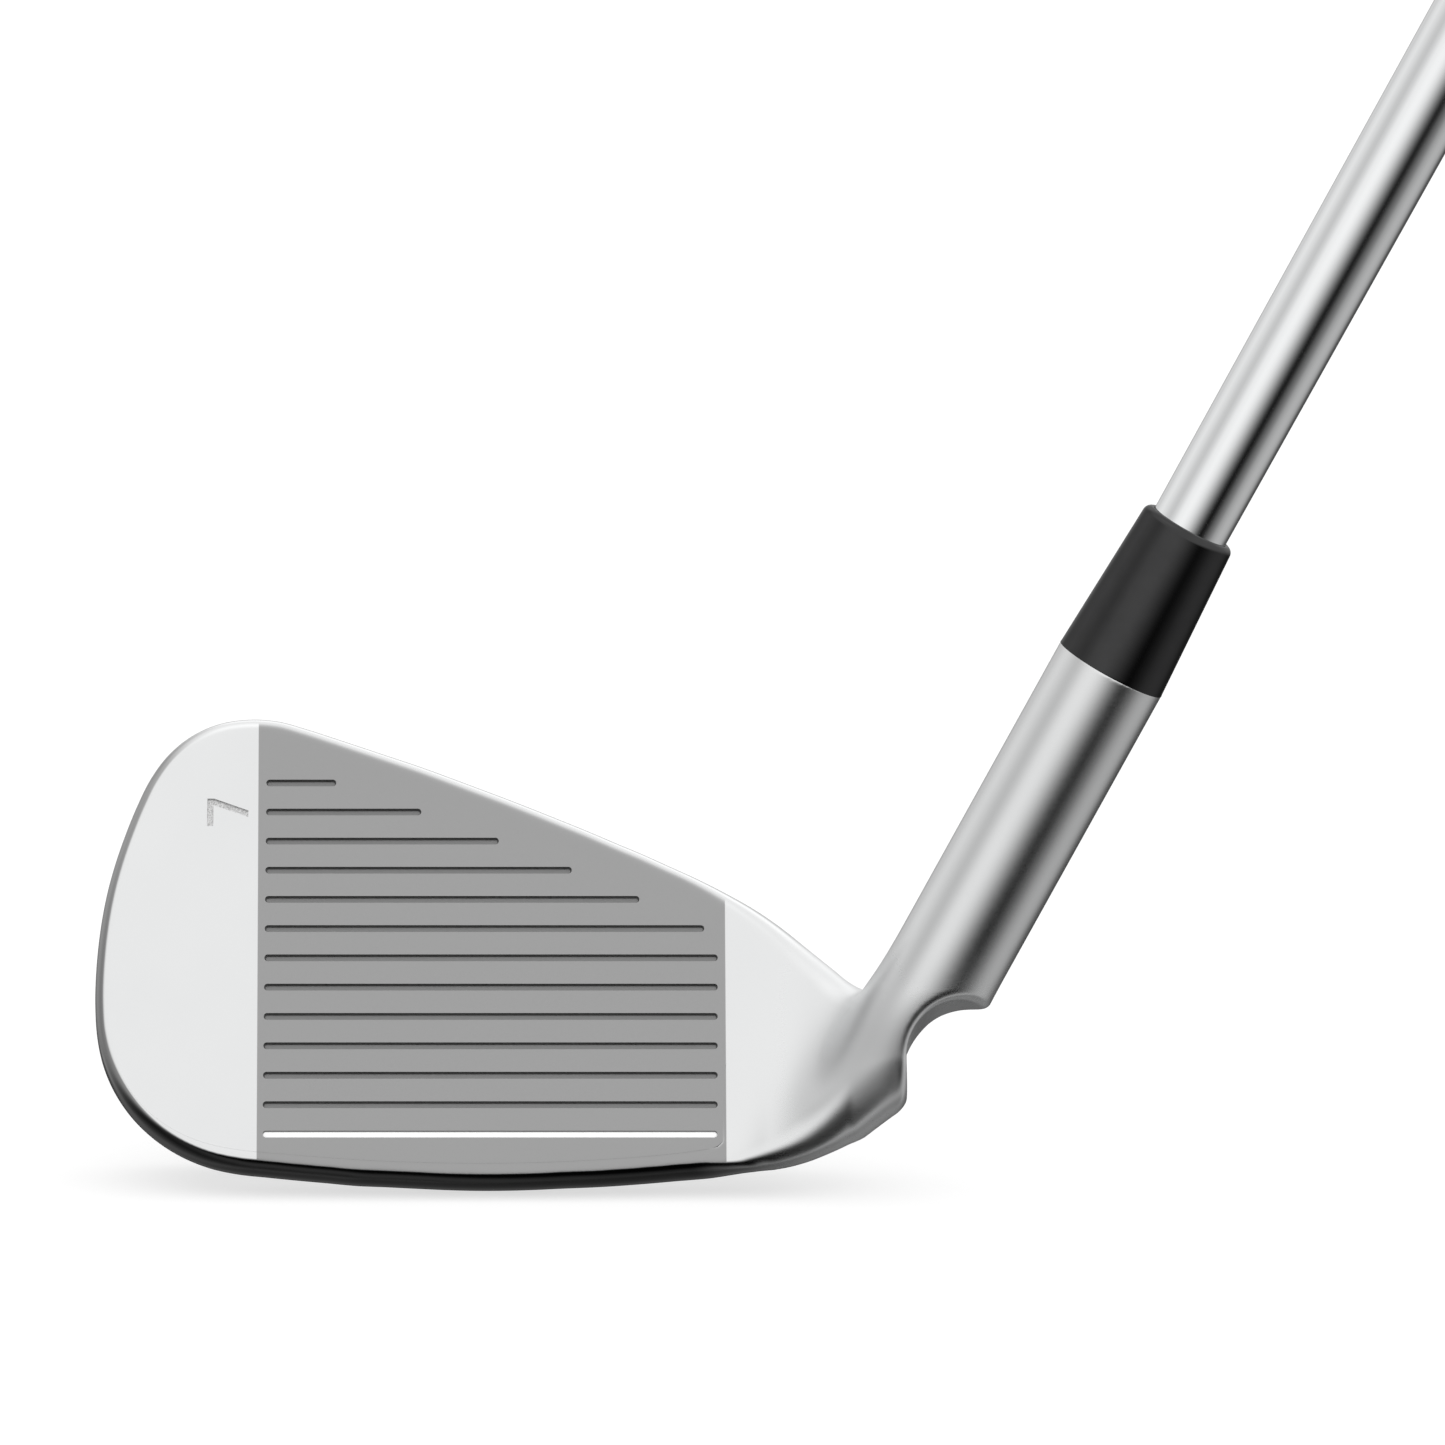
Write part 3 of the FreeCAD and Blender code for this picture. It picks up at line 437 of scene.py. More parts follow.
TIP_R, BUTT_R = 9.017 / 2, 15.24 / 2
TAPER = 0.0075                                # growth of the tip's diameter per mm
FIRST_STEP, STEP_PITCH, STEPS, SWELL = 258.0, 34.0, 12, 1.2
BUTT_BORE = BUTT_R - 0.36


def shaft_profile():
    """Tapered tip, then twelve steps up to the butt; each step is a short smooth swell."""
    def taper(along):
        return TIP_R + TAPER / 2 * (along - TIP_END)

    outer = [(TIP_R - 0.35, TIP_END), (TIP_R - 0.1, TIP_END + 0.1), (TIP_R, TIP_END + 0.4)]
    outer += [(taper(s), s) for s in np.linspace(TIP_END + 2, FIRST_STEP - 0.4, 24)]
    first = taper(FIRST_STEP)
    for k in range(STEPS):
        below, above = (first + m * (BUTT_R - first) / STEPS for m in (k, k + 1))
        start = FIRST_STEP + k * STEP_PITCH
        for q in range(7):
            x = q / 6
            outer.append((below + (above - below) * x * x * (3 - 2 * x), start + SWELL * x))
        shorten = 0.98 if k == STEPS - 1 else 1
        for q in range(1, 5):
            outer.append((above, start + SWELL + (STEP_PITCH - 1.6) * q / 4.0 * shorten))
    outer += [(BUTT_R, 800.0), (BUTT_R, BUTT_END - 0.2), (BUTT_R - 0.1, BUTT_END)]
    inner = [(BUTT_BORE, BUTT_END), (BUTT_BORE, FIRST_STEP + STEPS * STEP_PITCH),
             (first - 0.5, FIRST_STEP - 6), (3.75, 92.1), (3.75, TIP_END)]
    return outer + inner


def ferrule_profile():
    return rounded([(4.66, 71.78), (6.765, 71.78), (6.72, HOSEL_TOP), (5.75, FERRULE_TOP),
                    (4.72, FERRULE_TOP)], radii=[0.0, 0.02, 0.0, 0.9, 0.15], steps=8)


GRIP_BORE = 8.02
GRIP_SPACING = 0.36                           # between rings of vertices
GROOVES, GROOVE_PITCH = 16, 7.2
# distances from the grip's lower end: ranges without pattern, and ring grooves
PLAIN_COLLARS = ((-10.0, 13.0), (72.0, 82.0), (146.0, 156.0), (224.0, 300.0))
RING_GROOVES = (7.0, 9.0, 11.0, 75.2, 77.0, 78.8, 149.2, 151.0, 152.8, 228.5, 231.0, 233.5,
                252.0, 255.0, 258.0)
# grip radius (second row) at distances from its lower end (first row)
GRIP_KEYS = ([0.0, 0.25, 0.8, 4.0, 30.0, 60.0, 120.0, 212.0, 230.0, 248.0, 261.98],
             [8.10, 8.33, 8.45, 8.45, 8.93, 9.40, 10.10, 11.75, 12.35, 13.1, 13.1])


def grip_radius(radius, angle, along):
    """Moulded pattern: crossing helical grooves, plain collars and ring grooves."""
    along = along - GRIP_START
    turn = angle / (2 * math.pi)

    def groove(phase, width):
        x = np.abs((phase + 0.5) % 1.0 - 0.5)
        return np.clip(1 - (x / width) ** 2, 0, 1) ** 0.5 * (x < width)

    cross = np.maximum(groove(turn * GROOVES + along / GROOVE_PITCH, 0.13),
                       groove(turn * GROOVES - along / GROOVE_PITCH, 0.13))
    # a fine groove through the middle of each lozenge
    pattern = np.maximum(cross, groove(2 * along / GROOVE_PITCH, 0.05) * 0.45)
    window = np.ones_like(along)
    for low, high in PLAIN_COLLARS:
        window *= 1 - (smooth_step(along, low - 1.2, low)
                       * (1 - smooth_step(along, high, high + 1.2)))
    rings = np.zeros_like(along)
    for centre in RING_GROOVES:
        rings = np.maximum(rings, np.clip(1 - ((along - centre) / 0.55) ** 2, 0, 1) ** 0.5)
    depth = 0.42 * pattern * window + 0.35 * rings
    return radius - np.where(radius > 8.2, depth, 0.0)      # outside wall only


def grip_profile():
    along = np.concatenate([[0.0, 0.15, 0.4, 0.8], np.arange(1.2, 261.7, GRIP_SPACING),
                            [261.9, 261.98]])
    radius = np.interp(along, *GRIP_KEYS)
    # smooth the kinks between keys, except at the lower lip
    kernel = np.exp(-0.5 * (np.arange(-30, 31) * GRIP_SPACING / 3.5) ** 2)
    kernel /= kernel.sum()
    soft = np.convolve(np.pad(radius, 30, mode="edge"), kernel, mode="valid")
    radius = np.where(along > 6, soft, radius)
    outer = [(a, GRIP_START + b) for a, b in zip(radius, along)]
    inner = [(GRIP_BORE, 934.78), (GRIP_BORE, 800.0), (GRIP_BORE, 676.0),
             (GRIP_BORE - 0.35, 675.0), (GRIP_BORE - 0.35, GRIP_START)]
    return outer + inner


# ================================================================ shader helpers
class Value:
    """Output of a shader node; arithmetic on it adds math nodes."""

    def __init__(self, net, socket):
        self.net = net
        self.socket = socket

    def __add__(self, other):
        return self.net.math("ADD", self, other)

    def __radd__(self, other):
        return self.net.math("ADD", other, self)

    def __sub__(self, other):
        return self.net.math("SUBTRACT", self, other)

    def __rsub__(self, other):
        return self.net.math("SUBTRACT", other, self)

    def __mul__(self, other):
        return self.net.math("MULTIPLY", self, other)


class Net:
    """Builder of a node tree."""

    def __init__(self, tree):
        self.tree = tree
        tree.nodes.clear()

    def make(self, kind, inputs, **props):
        node = self.tree.nodes.new(kind)
        for key, value in props.items():
            setattr(node, key, value)
        for key, value in inputs.items():
            if isinstance(value, Value):
                self.tree.links.new(value.socket, node.inputs[key])
            else:
                node.inputs[key].default_value = value
        return node

    def node(self, kind, inputs={}, output=0, **props):
        return Value(self, self.make(kind, inputs, **props).outputs[output])

    def math(self, operation, *args):
        return self.node("ShaderNodeMath", dict(enumerate(args)), operation=operation)

    def vec(self, operation, *args, output=0):
        return self.node("ShaderNodeVectorMath", dict(enumerate(args)), output,
                         operation=operation)

    def dot(self, first, second):
        return self.vec("DOT_PRODUCT", first, second, output="Value")

    def step(self, x, zero, one, low=0.0, high=1.0):
        """Smooth step: low where x is at zero, high where it is at one."""
        return self.node("ShaderNodeMapRange", {
            "Value": x, "From Min": zero, "From Max": one, "To Min": low, "To Max": high,
        }, "Result", interpolation_type="SMOOTHSTEP")

    def lerp(self, factor, first, second):
        return self.node("ShaderNodeMix", {0: factor, 2: first, 3: second}, data_type="FLOAT")

    def tint(self, factor, first, second):
        """Mix of two colours."""
        return self.node("ShaderNodeMix", {0: factor, 6: first, 7: second}, 2, data_type="RGBA")

    def noise(self, vector, scale, detail=2.0, rough=0.5):
        return self.node("ShaderNodeTexNoise", {
            "Vector": vector, "Scale": scale, "Detail": detail, "Roughness": rough}, "Fac")

    def join(self, x, y, z):
        return self.node("ShaderNodeCombineXYZ", {0: x, 1: y, 2: z})

    def split(self, vector):
        node = self.make("ShaderNodeSeparateXYZ", {0: vector})
        return [Value(self, socket) for socket in node.outputs]

    def normal(self):
        return self.node("ShaderNodeNewGeometry", output="Normal")

    def bump(self, height, strength, distance, **more):
        """Bump normal; the distance is in metres."""
        return self.node("ShaderNodeBump", {
            "Strength": strength, "Distance": distance, "Height": height, **more})


def grey(level, red=1.0, green=1.0, blue=1.0):
    return (level * red, level * green, level * blue, 1.0)


def make_material(build):
    """Material named after its builder, which takes the net and the point in millimetres."""
    mat = bpy.data.materials.new(build.__name__)
    mat.use_nodes = True
    net = Net(mat.node_tree)
    place = net.node("ShaderNodeTexCoord", output="Object")
    point = net.vec("MULTIPLY", place, (1000.0, 1000.0, 1000.0))
    bsdf = net.node("ShaderNodeBsdfPrincipled", build(net, point))
    net.make("ShaderNodeOutputMaterial", {0: bsdf})
    return mat


def from_shaft(net, point):
    """Offset from the foot of the shaft line, and its two parts square to that line."""
    offset = net.vec("SUBTRACT", point, (SHAFT_X, SHAFT_Y, 0.0))
    return offset, net.dot(offset, ACROSS), net.dot(offset, BACKWARD)


def turned(net, offset, side, back):
    """(angle round the shaft line, distance along it)."""
    return net.math("ARCTAN2", back, side), net.dot(offset, tuple(AXIS))


def shaft_radius(net, side, back):
    return net.math("SQRT", side * side + back * back)


def shaft_noise(net, angle, along, around_scale, along_scale, **options):
    """Seamless noise round the shaft line; a scale sets how fine it is in that direction."""
    vector = net.join(net.math("COSINE", angle) * around_scale,
                      net.math("SINE", angle) * around_scale, along * along_scale)
    return net.noise(vector, scale=1.0, **options)


# ================================================================ materials
def head_steel(net, point):
    """Stainless: satin toe, heel, sole and hosel, a blasted middle zone on the face."""
    x, y, z = net.split(point)
    from_face = y - FACE_Y
    up = from_face * SIN_LOFT + z * COS_LOFT
    behind = from_face * COS_LOFT - z * SIN_LOFT
    normal = net.normal()
    facing = net.dot(normal, (0.0, -COS_LOFT, SIN_LOFT))
    upward = net.dot(normal, (0.0, SIN_LOFT, COS_LOFT))
    # middle zone between two slightly leaning edges: x = (height - up) * lean + place
    toe_edge = (60.0 - up) * (0.34 / 55) + (-27.38)
    heel_edge = (39.0 - up) * (0.2 / 34) + 28.19
    band = net.step(x - toe_edge, zero=-0.05, one=0.05) \
        * net.step(heel_edge - x, zero=-0.05, one=0.05)
    front = net.step(behind, zero=1.2, one=0.9)
    below_topline = 58.0 - (x + 25.2) * 0.403 - up
    inner = net.step(up, zero=6.2, one=6.5) * net.step(x, zero=-34.8, one=-34.4) \
        * net.step(below_topline, zero=0.0, one=0.3)
    sunk = net.step(behind, zero=0.05, one=0.14) * front
    deep = sunk * inner * band
    # sunk number near the toe
    digit = sunk * net.step(x, zero=-34.2, one=-34.0) * net.step(x, zero=-27.8, one=-28.0) \
        * (net.step(up, zero=46.3, one=46.6) * net.step(up, zero=51.6, one=51.3))
    # the blasted finish fades on the topline and stops sharply on the leading edge
    flat = net.lerp(net.step(upward, zero=0.02, one=-0.02),
                    net.step(facing, zero=0.82, one=0.998),
                    net.step(upward, zero=-0.50, one=-0.40))
    blast = band * net.math("MAXIMUM", flat, deep) * front
    # colour
    cloud = net.noise(point, scale=0.05, detail=3.0)
    grain = net.noise(point, scale=7.0, rough=0.6)
    speck = net.noise(point, scale=2.6, detail=3.0, rough=0.7)
    satin = net.tint(cloud, grey(0.80, red=0.99, blue=1.005), grey(0.86, red=0.995))
    mottle = (grain - 0.5) * 0.14 + (speck - 0.5) * 0.05
    blasted = net.tint(net.step(mottle + 0.5, zero=0.35, one=0.65), grey(0.378), grey(0.405))
    # painted shade on the rounded rim at the toe, lighter higher up
    rim = net.step(facing, zero=0.995, one=0.93) \
        * net.step(net.split(normal)[0], zero=-0.08, one=-0.34) \
        * (net.step(x, zero=-16.0, one=-26.0) * net.step(z, zero=52.5, one=47.0))
    toe_rim_shade = net.tint(net.step(z, zero=12.0, one=48.0), grey(0.27), grey(0.42))
    satin = net.tint(rim, satin, toe_rim_shade)
    # painted shade: dark front part of the underside
    underside_shade = net.step(upward, zero=-0.25, one=-0.60) * net.step(x, zero=46.0, one=24.0) \
        * net.step(behind, zero=9.5, one=5.0)
    satin = net.tint(underside_shade, satin, grey(0.045))
    base = net.tint(blast, satin, blasted)
    # painted shade in the sunk grooves of the blasted zone
    base = net.tint(deep * 0.45, base, grey(0.10))
    worn = net.step(net.noise(point, scale=5.5, rough=0.7), zero=0.34, one=0.6)
    base = net.tint(digit, base, net.tint(worn, grey(0.46), grey(0.80)))
    # finish: fine long scratches on the satin parts, even grit on the blasted zone
    streak = net.noise(net.join(x * 0.25, up * 9.0, behind * 9.0), scale=1.0, detail=3.0,
                       rough=0.6)
    neck = net.step(x, zero=29.0, one=38.0) * net.step(z, zero=33.0, one=22.0)
    fold = net.step(x, zero=34.5, one=39.0) * net.step(x, zero=50.5, one=46.0) \
        * (net.step(z, zero=10.5, one=16.0) * net.step(z, zero=35.0, one=27.0))
    satin_rough = 0.20 + (neck * 0.09 + fold * 0.12) + (streak - 0.5) * 0.10
    rough = net.lerp(blast, satin_rough, 0.46 + (grain - 0.5) * 0.2)
    height = net.lerp(blast, streak * 0.10, grain * 0.8)
    height = net.lerp(digit, height, net.noise(point, scale=6.0, rough=0.7) * 2.2)
    return {"Base Color": base, "Metallic": 1.0, "Roughness": net.lerp(digit, rough, 0.5),
            "Normal": net.bump(height, strength=0.35, distance=0.00002)}


def shaft_chrome(net, point):
    """Plated steel tube: bright, with polishing lines round it and slight smears along it."""
    offset, side, back = from_shaft(net, point)
    place = turned(net, offset, side, back)
    lines = shaft_noise(net, *place, around_scale=1.5, along_scale=14.0, detail=3.0, rough=0.6)
    smear = shaft_noise(net, *place, around_scale=2.0, along_scale=0.03, detail=3.0)
    # darker on the inner wall of the tube
    inside = net.step(shaft_radius(net, side, back), zero=4.4, one=4.2)
    base = net.tint(smear, grey(0.93, red=0.99, blue=1.005), grey(0.985, red=0.99, blue=1.005))
    return {"Base Color": net.tint(inside * 0.4, base, grey(0.3)), "Metallic": 1.0,
            "Roughness": 0.06 + (lines * 0.03 + smear * 0.03),
            "Normal": net.bump(lines, strength=0.05, distance=0.00001)}


def ferrule_plastic(net, point):
    """Turned black collar, polished to a satin with fine rings."""
    angle, along = turned(net, *from_shaft(net, point))
    rings = shaft_noise(net, angle, along, around_scale=0.8, along_scale=11.0, rough=0.6)
    cloud = net.noise(point, scale=0.6, detail=3.0)
    # light the slightly tapered side as a straight cylinder, keep the true normal on the rims
    normal = net.normal()
    offset = net.vec("SUBTRACT", point, (SHAFT_X, SHAFT_Y, 0.0))
    on_axis = net.vec("MULTIPLY", net.join(along, along, along), tuple(AXIS))
    square = net.vec("NORMALIZE", net.vec("SUBTRACT", offset, on_axis))
    lean = net.math("ABSOLUTE", net.dot(normal, tuple(AXIS)))
    side = net.step(lean, zero=0.12, one=0.07)
    rest = 1.0 - side
    mixed = net.vec("NORMALIZE", net.vec(
        "ADD", net.vec("MULTIPLY", square, net.join(side, side, side)),
        net.vec("MULTIPLY", normal, net.join(rest, rest, rest))))
    return {"Base Color": net.tint(cloud, grey(0.050, blue=1.01), grey(0.060, blue=1.01)),
            "Metallic": 1.0, "Roughness": 0.09 + rings * 0.05, "Specular Tint": grey(0.62),
            "Normal": net.bump(rings, strength=0.10, distance=0.00002, Normal=mixed)}


def grip_rubber(net, point):
    """Moulded grip rubber: dark, dry, with a fine pebble and paler patches."""
    pebble = net.node("ShaderNodeTexVoronoi", {"Vector": point, "Scale": 3.2}, "Distance")
    dust = net.noise(point, scale=0.35, detail=4.0, rough=0.6)
    fine = net.noise(point, scale=9.0, rough=0.6)
    return {"Base Color": net.tint(dust, grey(0.016, blue=1.02), grey(0.032)),
            "Roughness": 0.58 + (dust * 0.14 + (fine - 0.5) * 0.15),
            "Specular IOR Level": 0.42, "Sheen Weight": 0.12, "Sheen Roughness": 0.5,
            "Normal": net.bump(pebble * 0.7 + fine * 0.4, strength=0.30, distance=0.00006)}


def cap_rubber(net, point):
    """Harder cap rubber with turned rings on its end."""
    _, side, back = from_shaft(net, point)
    rings = net.math("SINE", shaft_radius(net, side, back) * (2 * math.pi / 0.9))
    fine = net.noise(point, scale=5.0, detail=3.0, rough=0.6)
    return {"Base Color": net.tint(fine, grey(0.014), grey(0.026)),
            "Roughness": 0.45 + fine * 0.15, "Specular IOR Level": 0.45,
            "Normal": net.bump(rings * 0.25 + fine * 0.5, strength=0.3, distance=0.00005)}


def white_paint(net, point):
    """Enamel fill with a slight orange peel and a few worn specks."""
    peel = net.noise(point, scale=3.0)
    worn = net.step(net.noise(point, scale=4.5, detail=3.0, rough=0.7), zero=0.70, one=0.78)
    # the slight emission is a painted glow on the fill
    return {"Base Color": net.tint(worn * 0.35, grey(0.97), grey(0.6)),
            "Roughness": 0.3 + peel * 0.15,
            "Normal": net.bump(peel, strength=0.2, distance=0.00002),
            "Emission Color": grey(1.0), "Emission Strength": 0.12}


def carrier_plastic(net, point):
    """Dark moulded badge carrier, spark-eroded texture."""
    grit = net.noise(point, scale=6.0, rough=0.7)
    cloud = net.noise(point, scale=0.4)
    return {"Base Color": net.tint(cloud, grey(0.028, blue=1.05), grey(0.045, blue=1.05)),
            "Roughness": 0.42 + grit * 0.16, "Specular IOR Level": 0.5,
            "Normal": net.bump(grit, strength=0.35, distance=0.00004)}


def brushed(net, point, dark, light, rough):
    """Metal brushed along the face (X)."""
    x, y, z = net.split(point)
    up = (y - FACE_Y) * SIN_LOFT + z * COS_LOFT
    lines = net.noise(net.join(x * 0.12, up * 7.0, 0.0), scale=1.0, detail=4.0, rough=0.65)
    return {"Base Color": net.tint(lines, dark, light), "Metallic": 1.0,
            "Roughness": rough + lines * 0.16, "Anisotropic": 0.5,
            "Normal": net.bump(lines, strength=0.25, distance=0.00002)}


def badge_metal(net, point):
    """Brushed aluminium badge plate."""
    return brushed(net, point, dark=grey(0.60, blue=1.01), light=grey(0.76, blue=1.01),
                   rough=0.22)


def inlay_metal(net, point):
    """Bright brushed inlays."""
    return brushed(net, point, dark=grey(0.66, green=0.995, blue=0.98),
                   light=grey(0.84, green=0.995, blue=0.98), rough=0.14)


def weight_alloy(net, point):
    """Turned heavy alloy: rings from facing, with painted shade in the socket."""
    centre = (np.array([PORT_X, FACE_Y, 0.0]) + np.array([0, SIN_LOFT, COS_LOFT]) * 16.3
              + np.array([0, COS_LOFT, -SIN_LOFT]) * PORT_BEHIND)
    offset = net.vec("SUBTRACT", point, tuple(centre))
    axial = net.dot(offset, (0.0, SIN_LOFT, COS_LOFT))
    square = net.math("MAXIMUM", net.dot(offset, offset) - axial * axial, 0.0)
    rings = net.math("SINE", net.math("SQRT", square) * (2 * math.pi / 0.16))
    fine = net.noise(point, scale=3.0, detail=3.0)
    base = net.tint(fine, grey(0.42, green=0.98, blue=0.95), grey(0.56, green=0.98, blue=0.95))
    # painted shade deeper in the socket
    socket = net.step(axial, zero=-0.3, one=-1.2)
    return {"Base Color": net.tint(socket * 0.6, base, grey(0.12)), "Metallic": 1.0,
            "Roughness": 0.24 + fine * 0.12,
            "Normal": net.bump(rings, strength=0.12, distance=0.00001)}


def brass_plug(net, point):
    lines = shaft_noise(net, *turned(net, *from_shaft(net, point)), around_scale=1.0,
                        along_scale=9.0, detail=3.0)
    return {"Base Color": net.tint(lines, (0.72, 0.50, 0.20, 1), (0.83, 0.62, 0.29, 1)),
            "Metallic": 1.0, "Roughness": 0.22 + lines * 0.16,
            "Normal": net.bump(lines, strength=0.2, distance=0.00001)}


def adhesive(net, point):
    blob = net.noise(point, scale=0.8, detail=3.0)
    return {"Base Color": net.tint(blob, (0.30, 0.27, 0.20, 1), (0.46, 0.42, 0.32, 1)),
            "Roughness": 0.25 + blob * 0.2,
            "Normal": net.bump(blob, strength=0.3, distance=0.00005)}


def elastomer(net, point):
    fine = net.noise(point, scale=4.0, detail=3.0)
    return {"Base Color": net.tint(fine, grey(0.02, red=1.1, blue=0.95),
                                   grey(0.04, red=1.1, blue=0.95)),
            "Roughness": 0.6 + fine * 0.2,
            "Normal": net.bump(fine, strength=0.3, distance=0.00005)}


def band_film(net, point):
    """Graphite film wrapped on the shaft, with a wide and a thin pale line near each end."""
    offset = net.vec("SUBTRACT", point, (SHAFT_X, SHAFT_Y, 0.0))
    middle = net.math("ABSOLUTE", net.dot(offset, tuple(AXIS)) - 652.0)
    wide = net.step(middle, zero=11.6, one=11.75) * net.step(middle, zero=13.2, one=13.05)
    thin = net.step(middle, zero=9.9, one=10.0) * net.step(middle, zero=10.5, one=10.4)
    cloud = net.noise(point, scale=0.8, detail=3.0)
    base = net.tint(cloud, grey(0.035, blue=1.04), grey(0.05, blue=1.04))
    peel = net.noise(point, scale=2.5)
    return {"Base Color": net.tint(net.math("MAXIMUM", wide, thin), base, grey(0.75)),
            "Roughness": 0.24 + peel * 0.1, "Coat Weight": 0.5, "Coat Roughness": 0.12,
            "Normal": net.bump(peel, strength=0.08, distance=0.00003)}


def tape(net, point):
    """Creped paper tape, wound round the butt."""
    angle, along = turned(net, *from_shaft(net, point))
    crepe = shaft_noise(net, angle, along, around_scale=3.0, along_scale=2.5, detail=3.0,
                        rough=0.6)
    seam = net.math("ABSOLUTE", net.math("SINE", along * (math.pi / 22.0) + angle * 0.5))
    base = net.tint(crepe, (0.66, 0.60, 0.46, 1), (0.80, 0.75, 0.61, 1))
    base = net.tint(net.step(seam, zero=0.06, one=0.0), base, (0.45, 0.40, 0.30, 1))
    return {"Base Color": base, "Roughness": 0.85,
            "Normal": net.bump(crepe, strength=0.5, distance=0.0001)}


MATERIALS = {build.__name__: make_material(build) for build in (
    head_steel, shaft_chrome, ferrule_plastic, grip_rubber, cap_rubber, white_paint,
    carrier_plastic, badge_metal, inlay_metal, weight_alloy, brass_plug, adhesive, elastomer,
    band_film, tape)}


# ================================================================ pieces
def register(obj, stands_for):
    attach(obj, "root")
    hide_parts(stands_for)


register(head_object(MATERIALS["head_steel"]), "head_body")
register(lathe("shaft_tube", shaft_profile(), MATERIALS["shaft_chrome"], around=128, sharp=40),
         "shaft")
register(lathe("ferrule_collar", ferrule_profile(), MATERIALS["ferrule_plastic"], around=128,
               sharp=50), "ferrule")
register(lathe("grip_rubber_sleeve", grip_profile(), MATERIALS["grip_rubber"],
               around=256, sharp=60, shape=grip_radius),
         "grip_sleeve")

# CAD pieces that keep their mesh and take a material
for name, material_name in {
    "face_plate": "head_steel", "scoreline_paint": "white_paint", "badge_adhesive": "adhesive",
    "damping_insert": "elastomer", "badge_carrier": "carrier_plastic",
    "badge_plate": "badge_metal", "badge_inlays": "inlay_metal",
    "tuning_weight_screw": "weight_alloy", "tip_weight": "brass_plug",
    "hosel_epoxy": "adhesive", "shaft_band": "band_film", "grip_tape": "tape",
    "grip_cap": "cap_rubber",
}.items():
    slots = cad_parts[name].data.materials
    slots.clear()
    slots.append(MATERIALS[material_name])


# ================================================================ studio
def add_floor(half=60.0):
    mat = bpy.data.materials.new("floor_white")
    mat.use_nodes = True
    for key, value in {
        "Base Color": grey(0.38), "Emission Color": grey(1.0), "Emission Strength": 0.66,
        "Roughness": 1.0, "Specular IOR Level": 0.0,
    }.items():
        mat.node_tree.nodes["Principled BSDF"].inputs[key].default_value = value
    mesh = bpy.data.meshes.new("floor")
    corners = [(-half, -half, 0), (half, -half, 0), (half, half, 0), (-half, half, 0)]
    mesh.from_pydata(corners, [], [(0, 1, 2, 3)])
    floor = new_object(mesh, mat)
    floor.visible_glossy = False


# Brightness of the reflected panels by azimuth: (degrees, brightness).
PANELS_HIGH = [
    (-180, 1.25), (-168, 1.15), (-155, 0.72), (-144, 0.62), (-128, 0.74), (-114, 0.80),
    (-95, 0.70), (-82, 0.60), (-72, 0.57), (-60, 0.68), (-48, 0.86), (-34, 0.93), (-10, 0.96),
    (40, 1.0), (90, 1.02), (130, 1.1), (150, 1.25), (180, 1.25)]
PANELS_LOW = [
    (-180, 0.03), (-120, 0.03), (-60, 0.014), (-42, 0.008), (28, 0.008), (35, 0.03), (49, 0.13),
    (58, 0.20), (68, 0.31), (80, 0.39), (93, 0.44), (107, 0.44), (122, 0.37), (132, 0.28),
    (146, 0.10), (180, 0.03)]
PANELS_DOWN_SHAFT = [
    (-180, 0.22), (-150, 0.30), (-125, 0.75), (-95, 0.30), (-70, 0.14), (-50, 0.30), (-25, 0.62),
    (0, 0.66), (40, 0.62), (75, 0.50), (100, 0.20), (120, 0.12), (140, 0.25), (160, 0.22),
    (180, 0.22)]


def azimuth_ramp(net, azimuth, stops, top=1.3):
    """Brightness by azimuth; the ramp holds it as a share of top."""
    share = net.node("ShaderNodeMapRange", {"Value": azimuth, "From Min": -180, "From Max": 180},
                     "Result")
    ramp = net.make("ShaderNodeValToRGB", {0: share})
    elements = ramp.color_ramp.elements
    while len(elements) > 1:
        elements.remove(elements[-1])
    for i, (degrees, level) in enumerate(stops):
        position = (degrees + 180) / 360
        item = elements[0] if i == 0 else elements.new(position)
        item.position = position
        item.color = grey(level / top)
    return Value(net, ramp.outputs[0]) * top


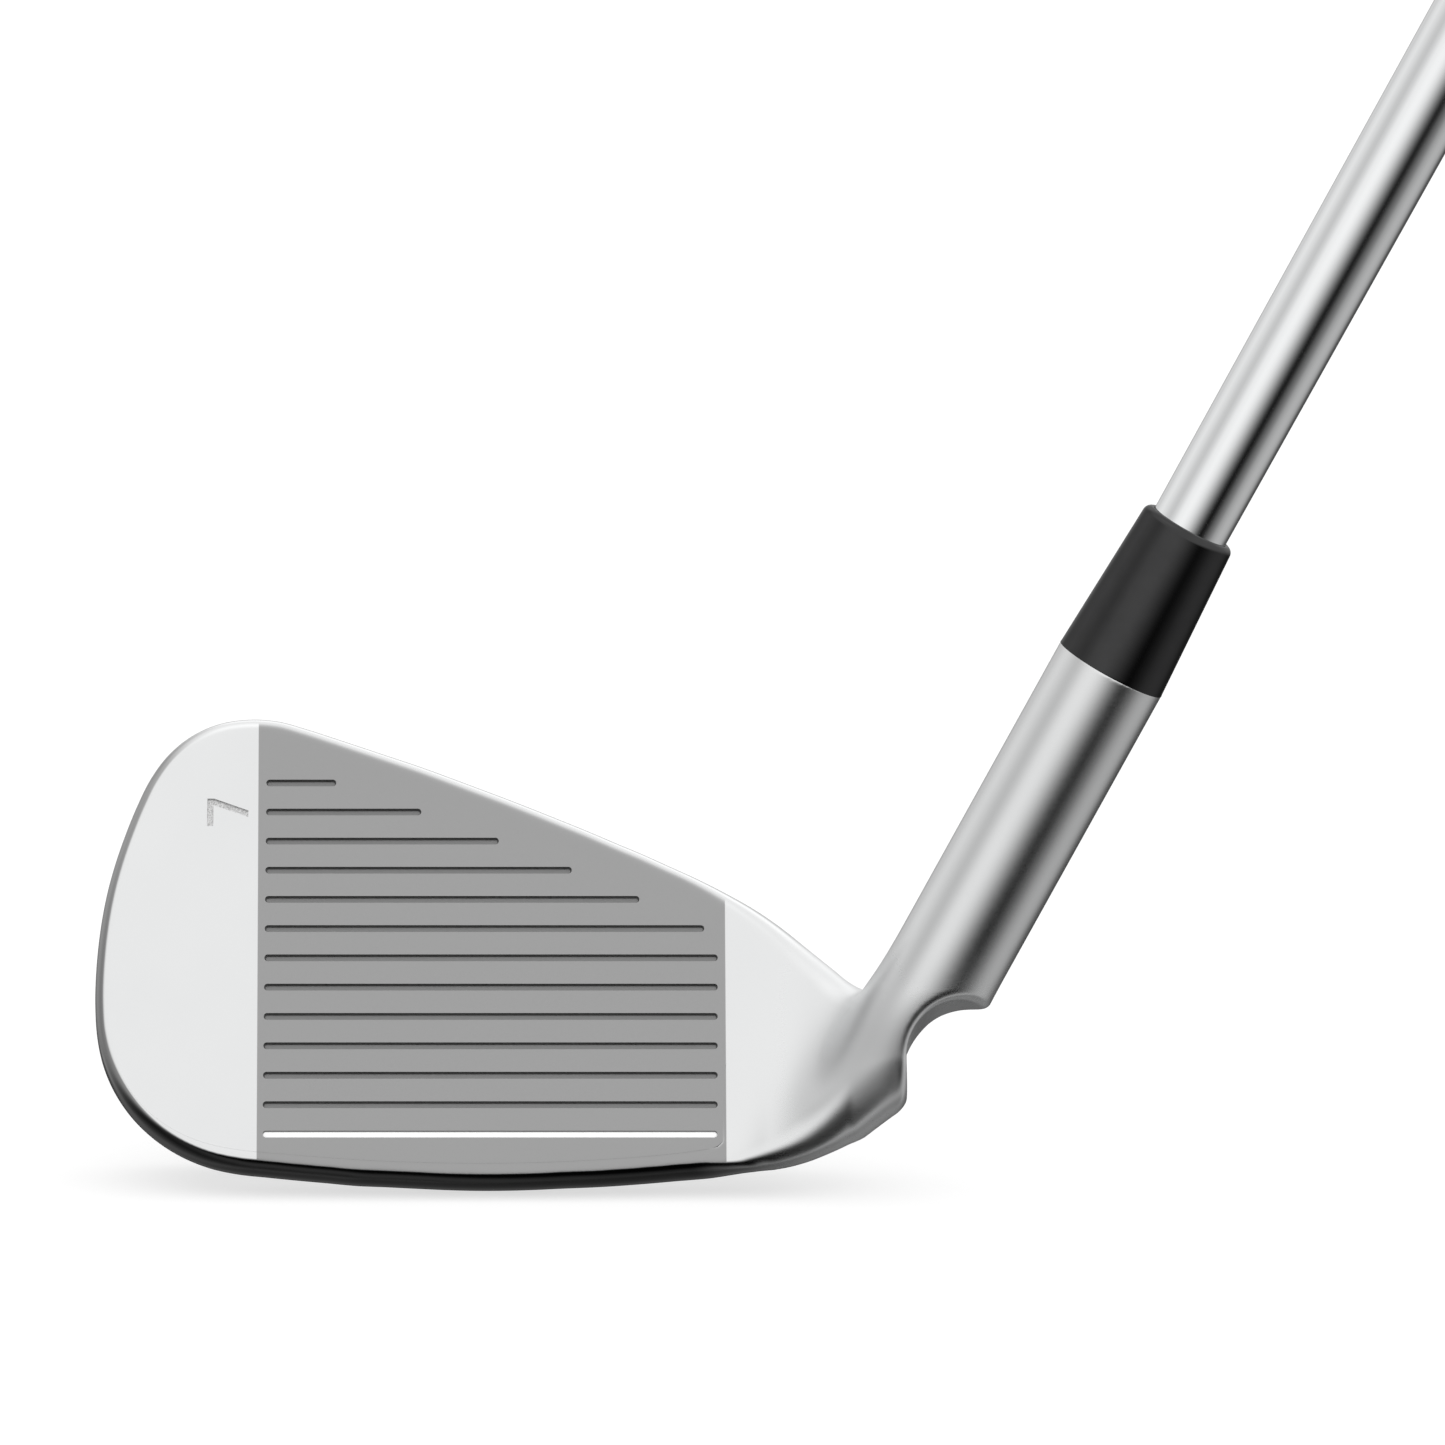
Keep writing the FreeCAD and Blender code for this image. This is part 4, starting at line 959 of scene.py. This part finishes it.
def add_world():
    """White studio. What the metal reflects is a set of soft panels laid out by direction:
    azimuth 0 is the front (-Y) and grows towards +X, elevation is above the horizon."""
    world = bpy.data.worlds.new("studio")
    bpy.context.scene.world = world
    world.use_nodes = True
    net = Net(world.node_tree)
    direction = net.node("ShaderNodeTexCoord", output="Generated")
    x, y, z = net.split(direction)
    azimuth = net.math("ARCTAN2", x, y * -1.0) * (180 / math.pi)
    sine = net.math("MINIMUM", net.math("MAXIMUM", z, -1.0), 1.0)
    elevation = net.math("ARCSINE", sine) * (180 / math.pi)
    around_high = azimuth_ramp(net, azimuth, PANELS_HIGH)
    around_low = azimuth_ramp(net, azimuth, PANELS_LOW)
    # above: a grey patch low at the back, even light higher up
    edge = net.step(net.math("ABSOLUTE", azimuth), zero=135.0, one=165.0) \
        * net.step(elevation, zero=32.0, one=14.0)
    high = net.lerp(edge, around_high, 0.62)
    high = net.lerp(net.step(elevation, zero=36.0, one=58.0), high, 0.985)
    high = net.lerp(net.step(elevation, zero=62.0, one=86.0), high, 1.2)
    # below and behind: darker near the horizon, brighter under the heel side
    behind = net.step(x, zero=-0.15, one=0.14, low=0.012, high=0.30) \
        * net.step(elevation, zero=-8.0, one=-55.0)
    low = net.lerp(net.step(net.math("ABSOLUTE", azimuth), zero=118.0, one=168.0), around_low,
                   behind + 0.01)
    low = net.lerp(net.step(elevation, zero=-66.0, one=-84.0), low, 0.085)
    # steeply down the shaft line: a light floor with soft darker cards
    along = net.dot(direction, tuple(AXIS))
    cards = azimuth_ramp(net, azimuth, PANELS_DOWN_SHAFT)
    heel_dark = net.step(azimuth, zero=-50.0, one=-5.0) \
        * net.step(azimuth, zero=75.0, one=45.0) * 0.32
    low = net.lerp(net.step(along + heel_dark, zero=-0.38, one=-0.62), low, cards)
    reflected = net.lerp(net.step(elevation, zero=-22.0, one=9.0), low, high)
    is_glossy = net.node("ShaderNodeLightPath", output="Is Glossy Ray")
    background = net.node("ShaderNodeBackground", {
        "Color": (1, 1, 1, 1), "Strength": net.lerp(is_glossy, 1.12, reflected)})
    net.make("ShaderNodeOutputWorld", {0: background})
    world.cycles.sampling_method = "NONE"


def add_camera():
    data = bpy.data.cameras.new("camera")
    data.sensor_width = 36.0
    data.lens = 360.6
    data.clip_start, data.clip_end = 0.05, 200.0
    camera = bpy.data.objects.new("camera", data)
    bpy.context.scene.collection.objects.link(camera)
    camera.location = (0.02791, -1.67967, 0.35191)
    camera.rotation_euler = (math.radians(80.0), 0.0, 0.0)
    bpy.context.scene.camera = camera


add_floor()
add_world()
bpy.context.scene.view_settings.view_transform = "Standard"
bpy.context.scene.view_settings.look = "None"
add_camera()

bpy.context.view_layer.update()
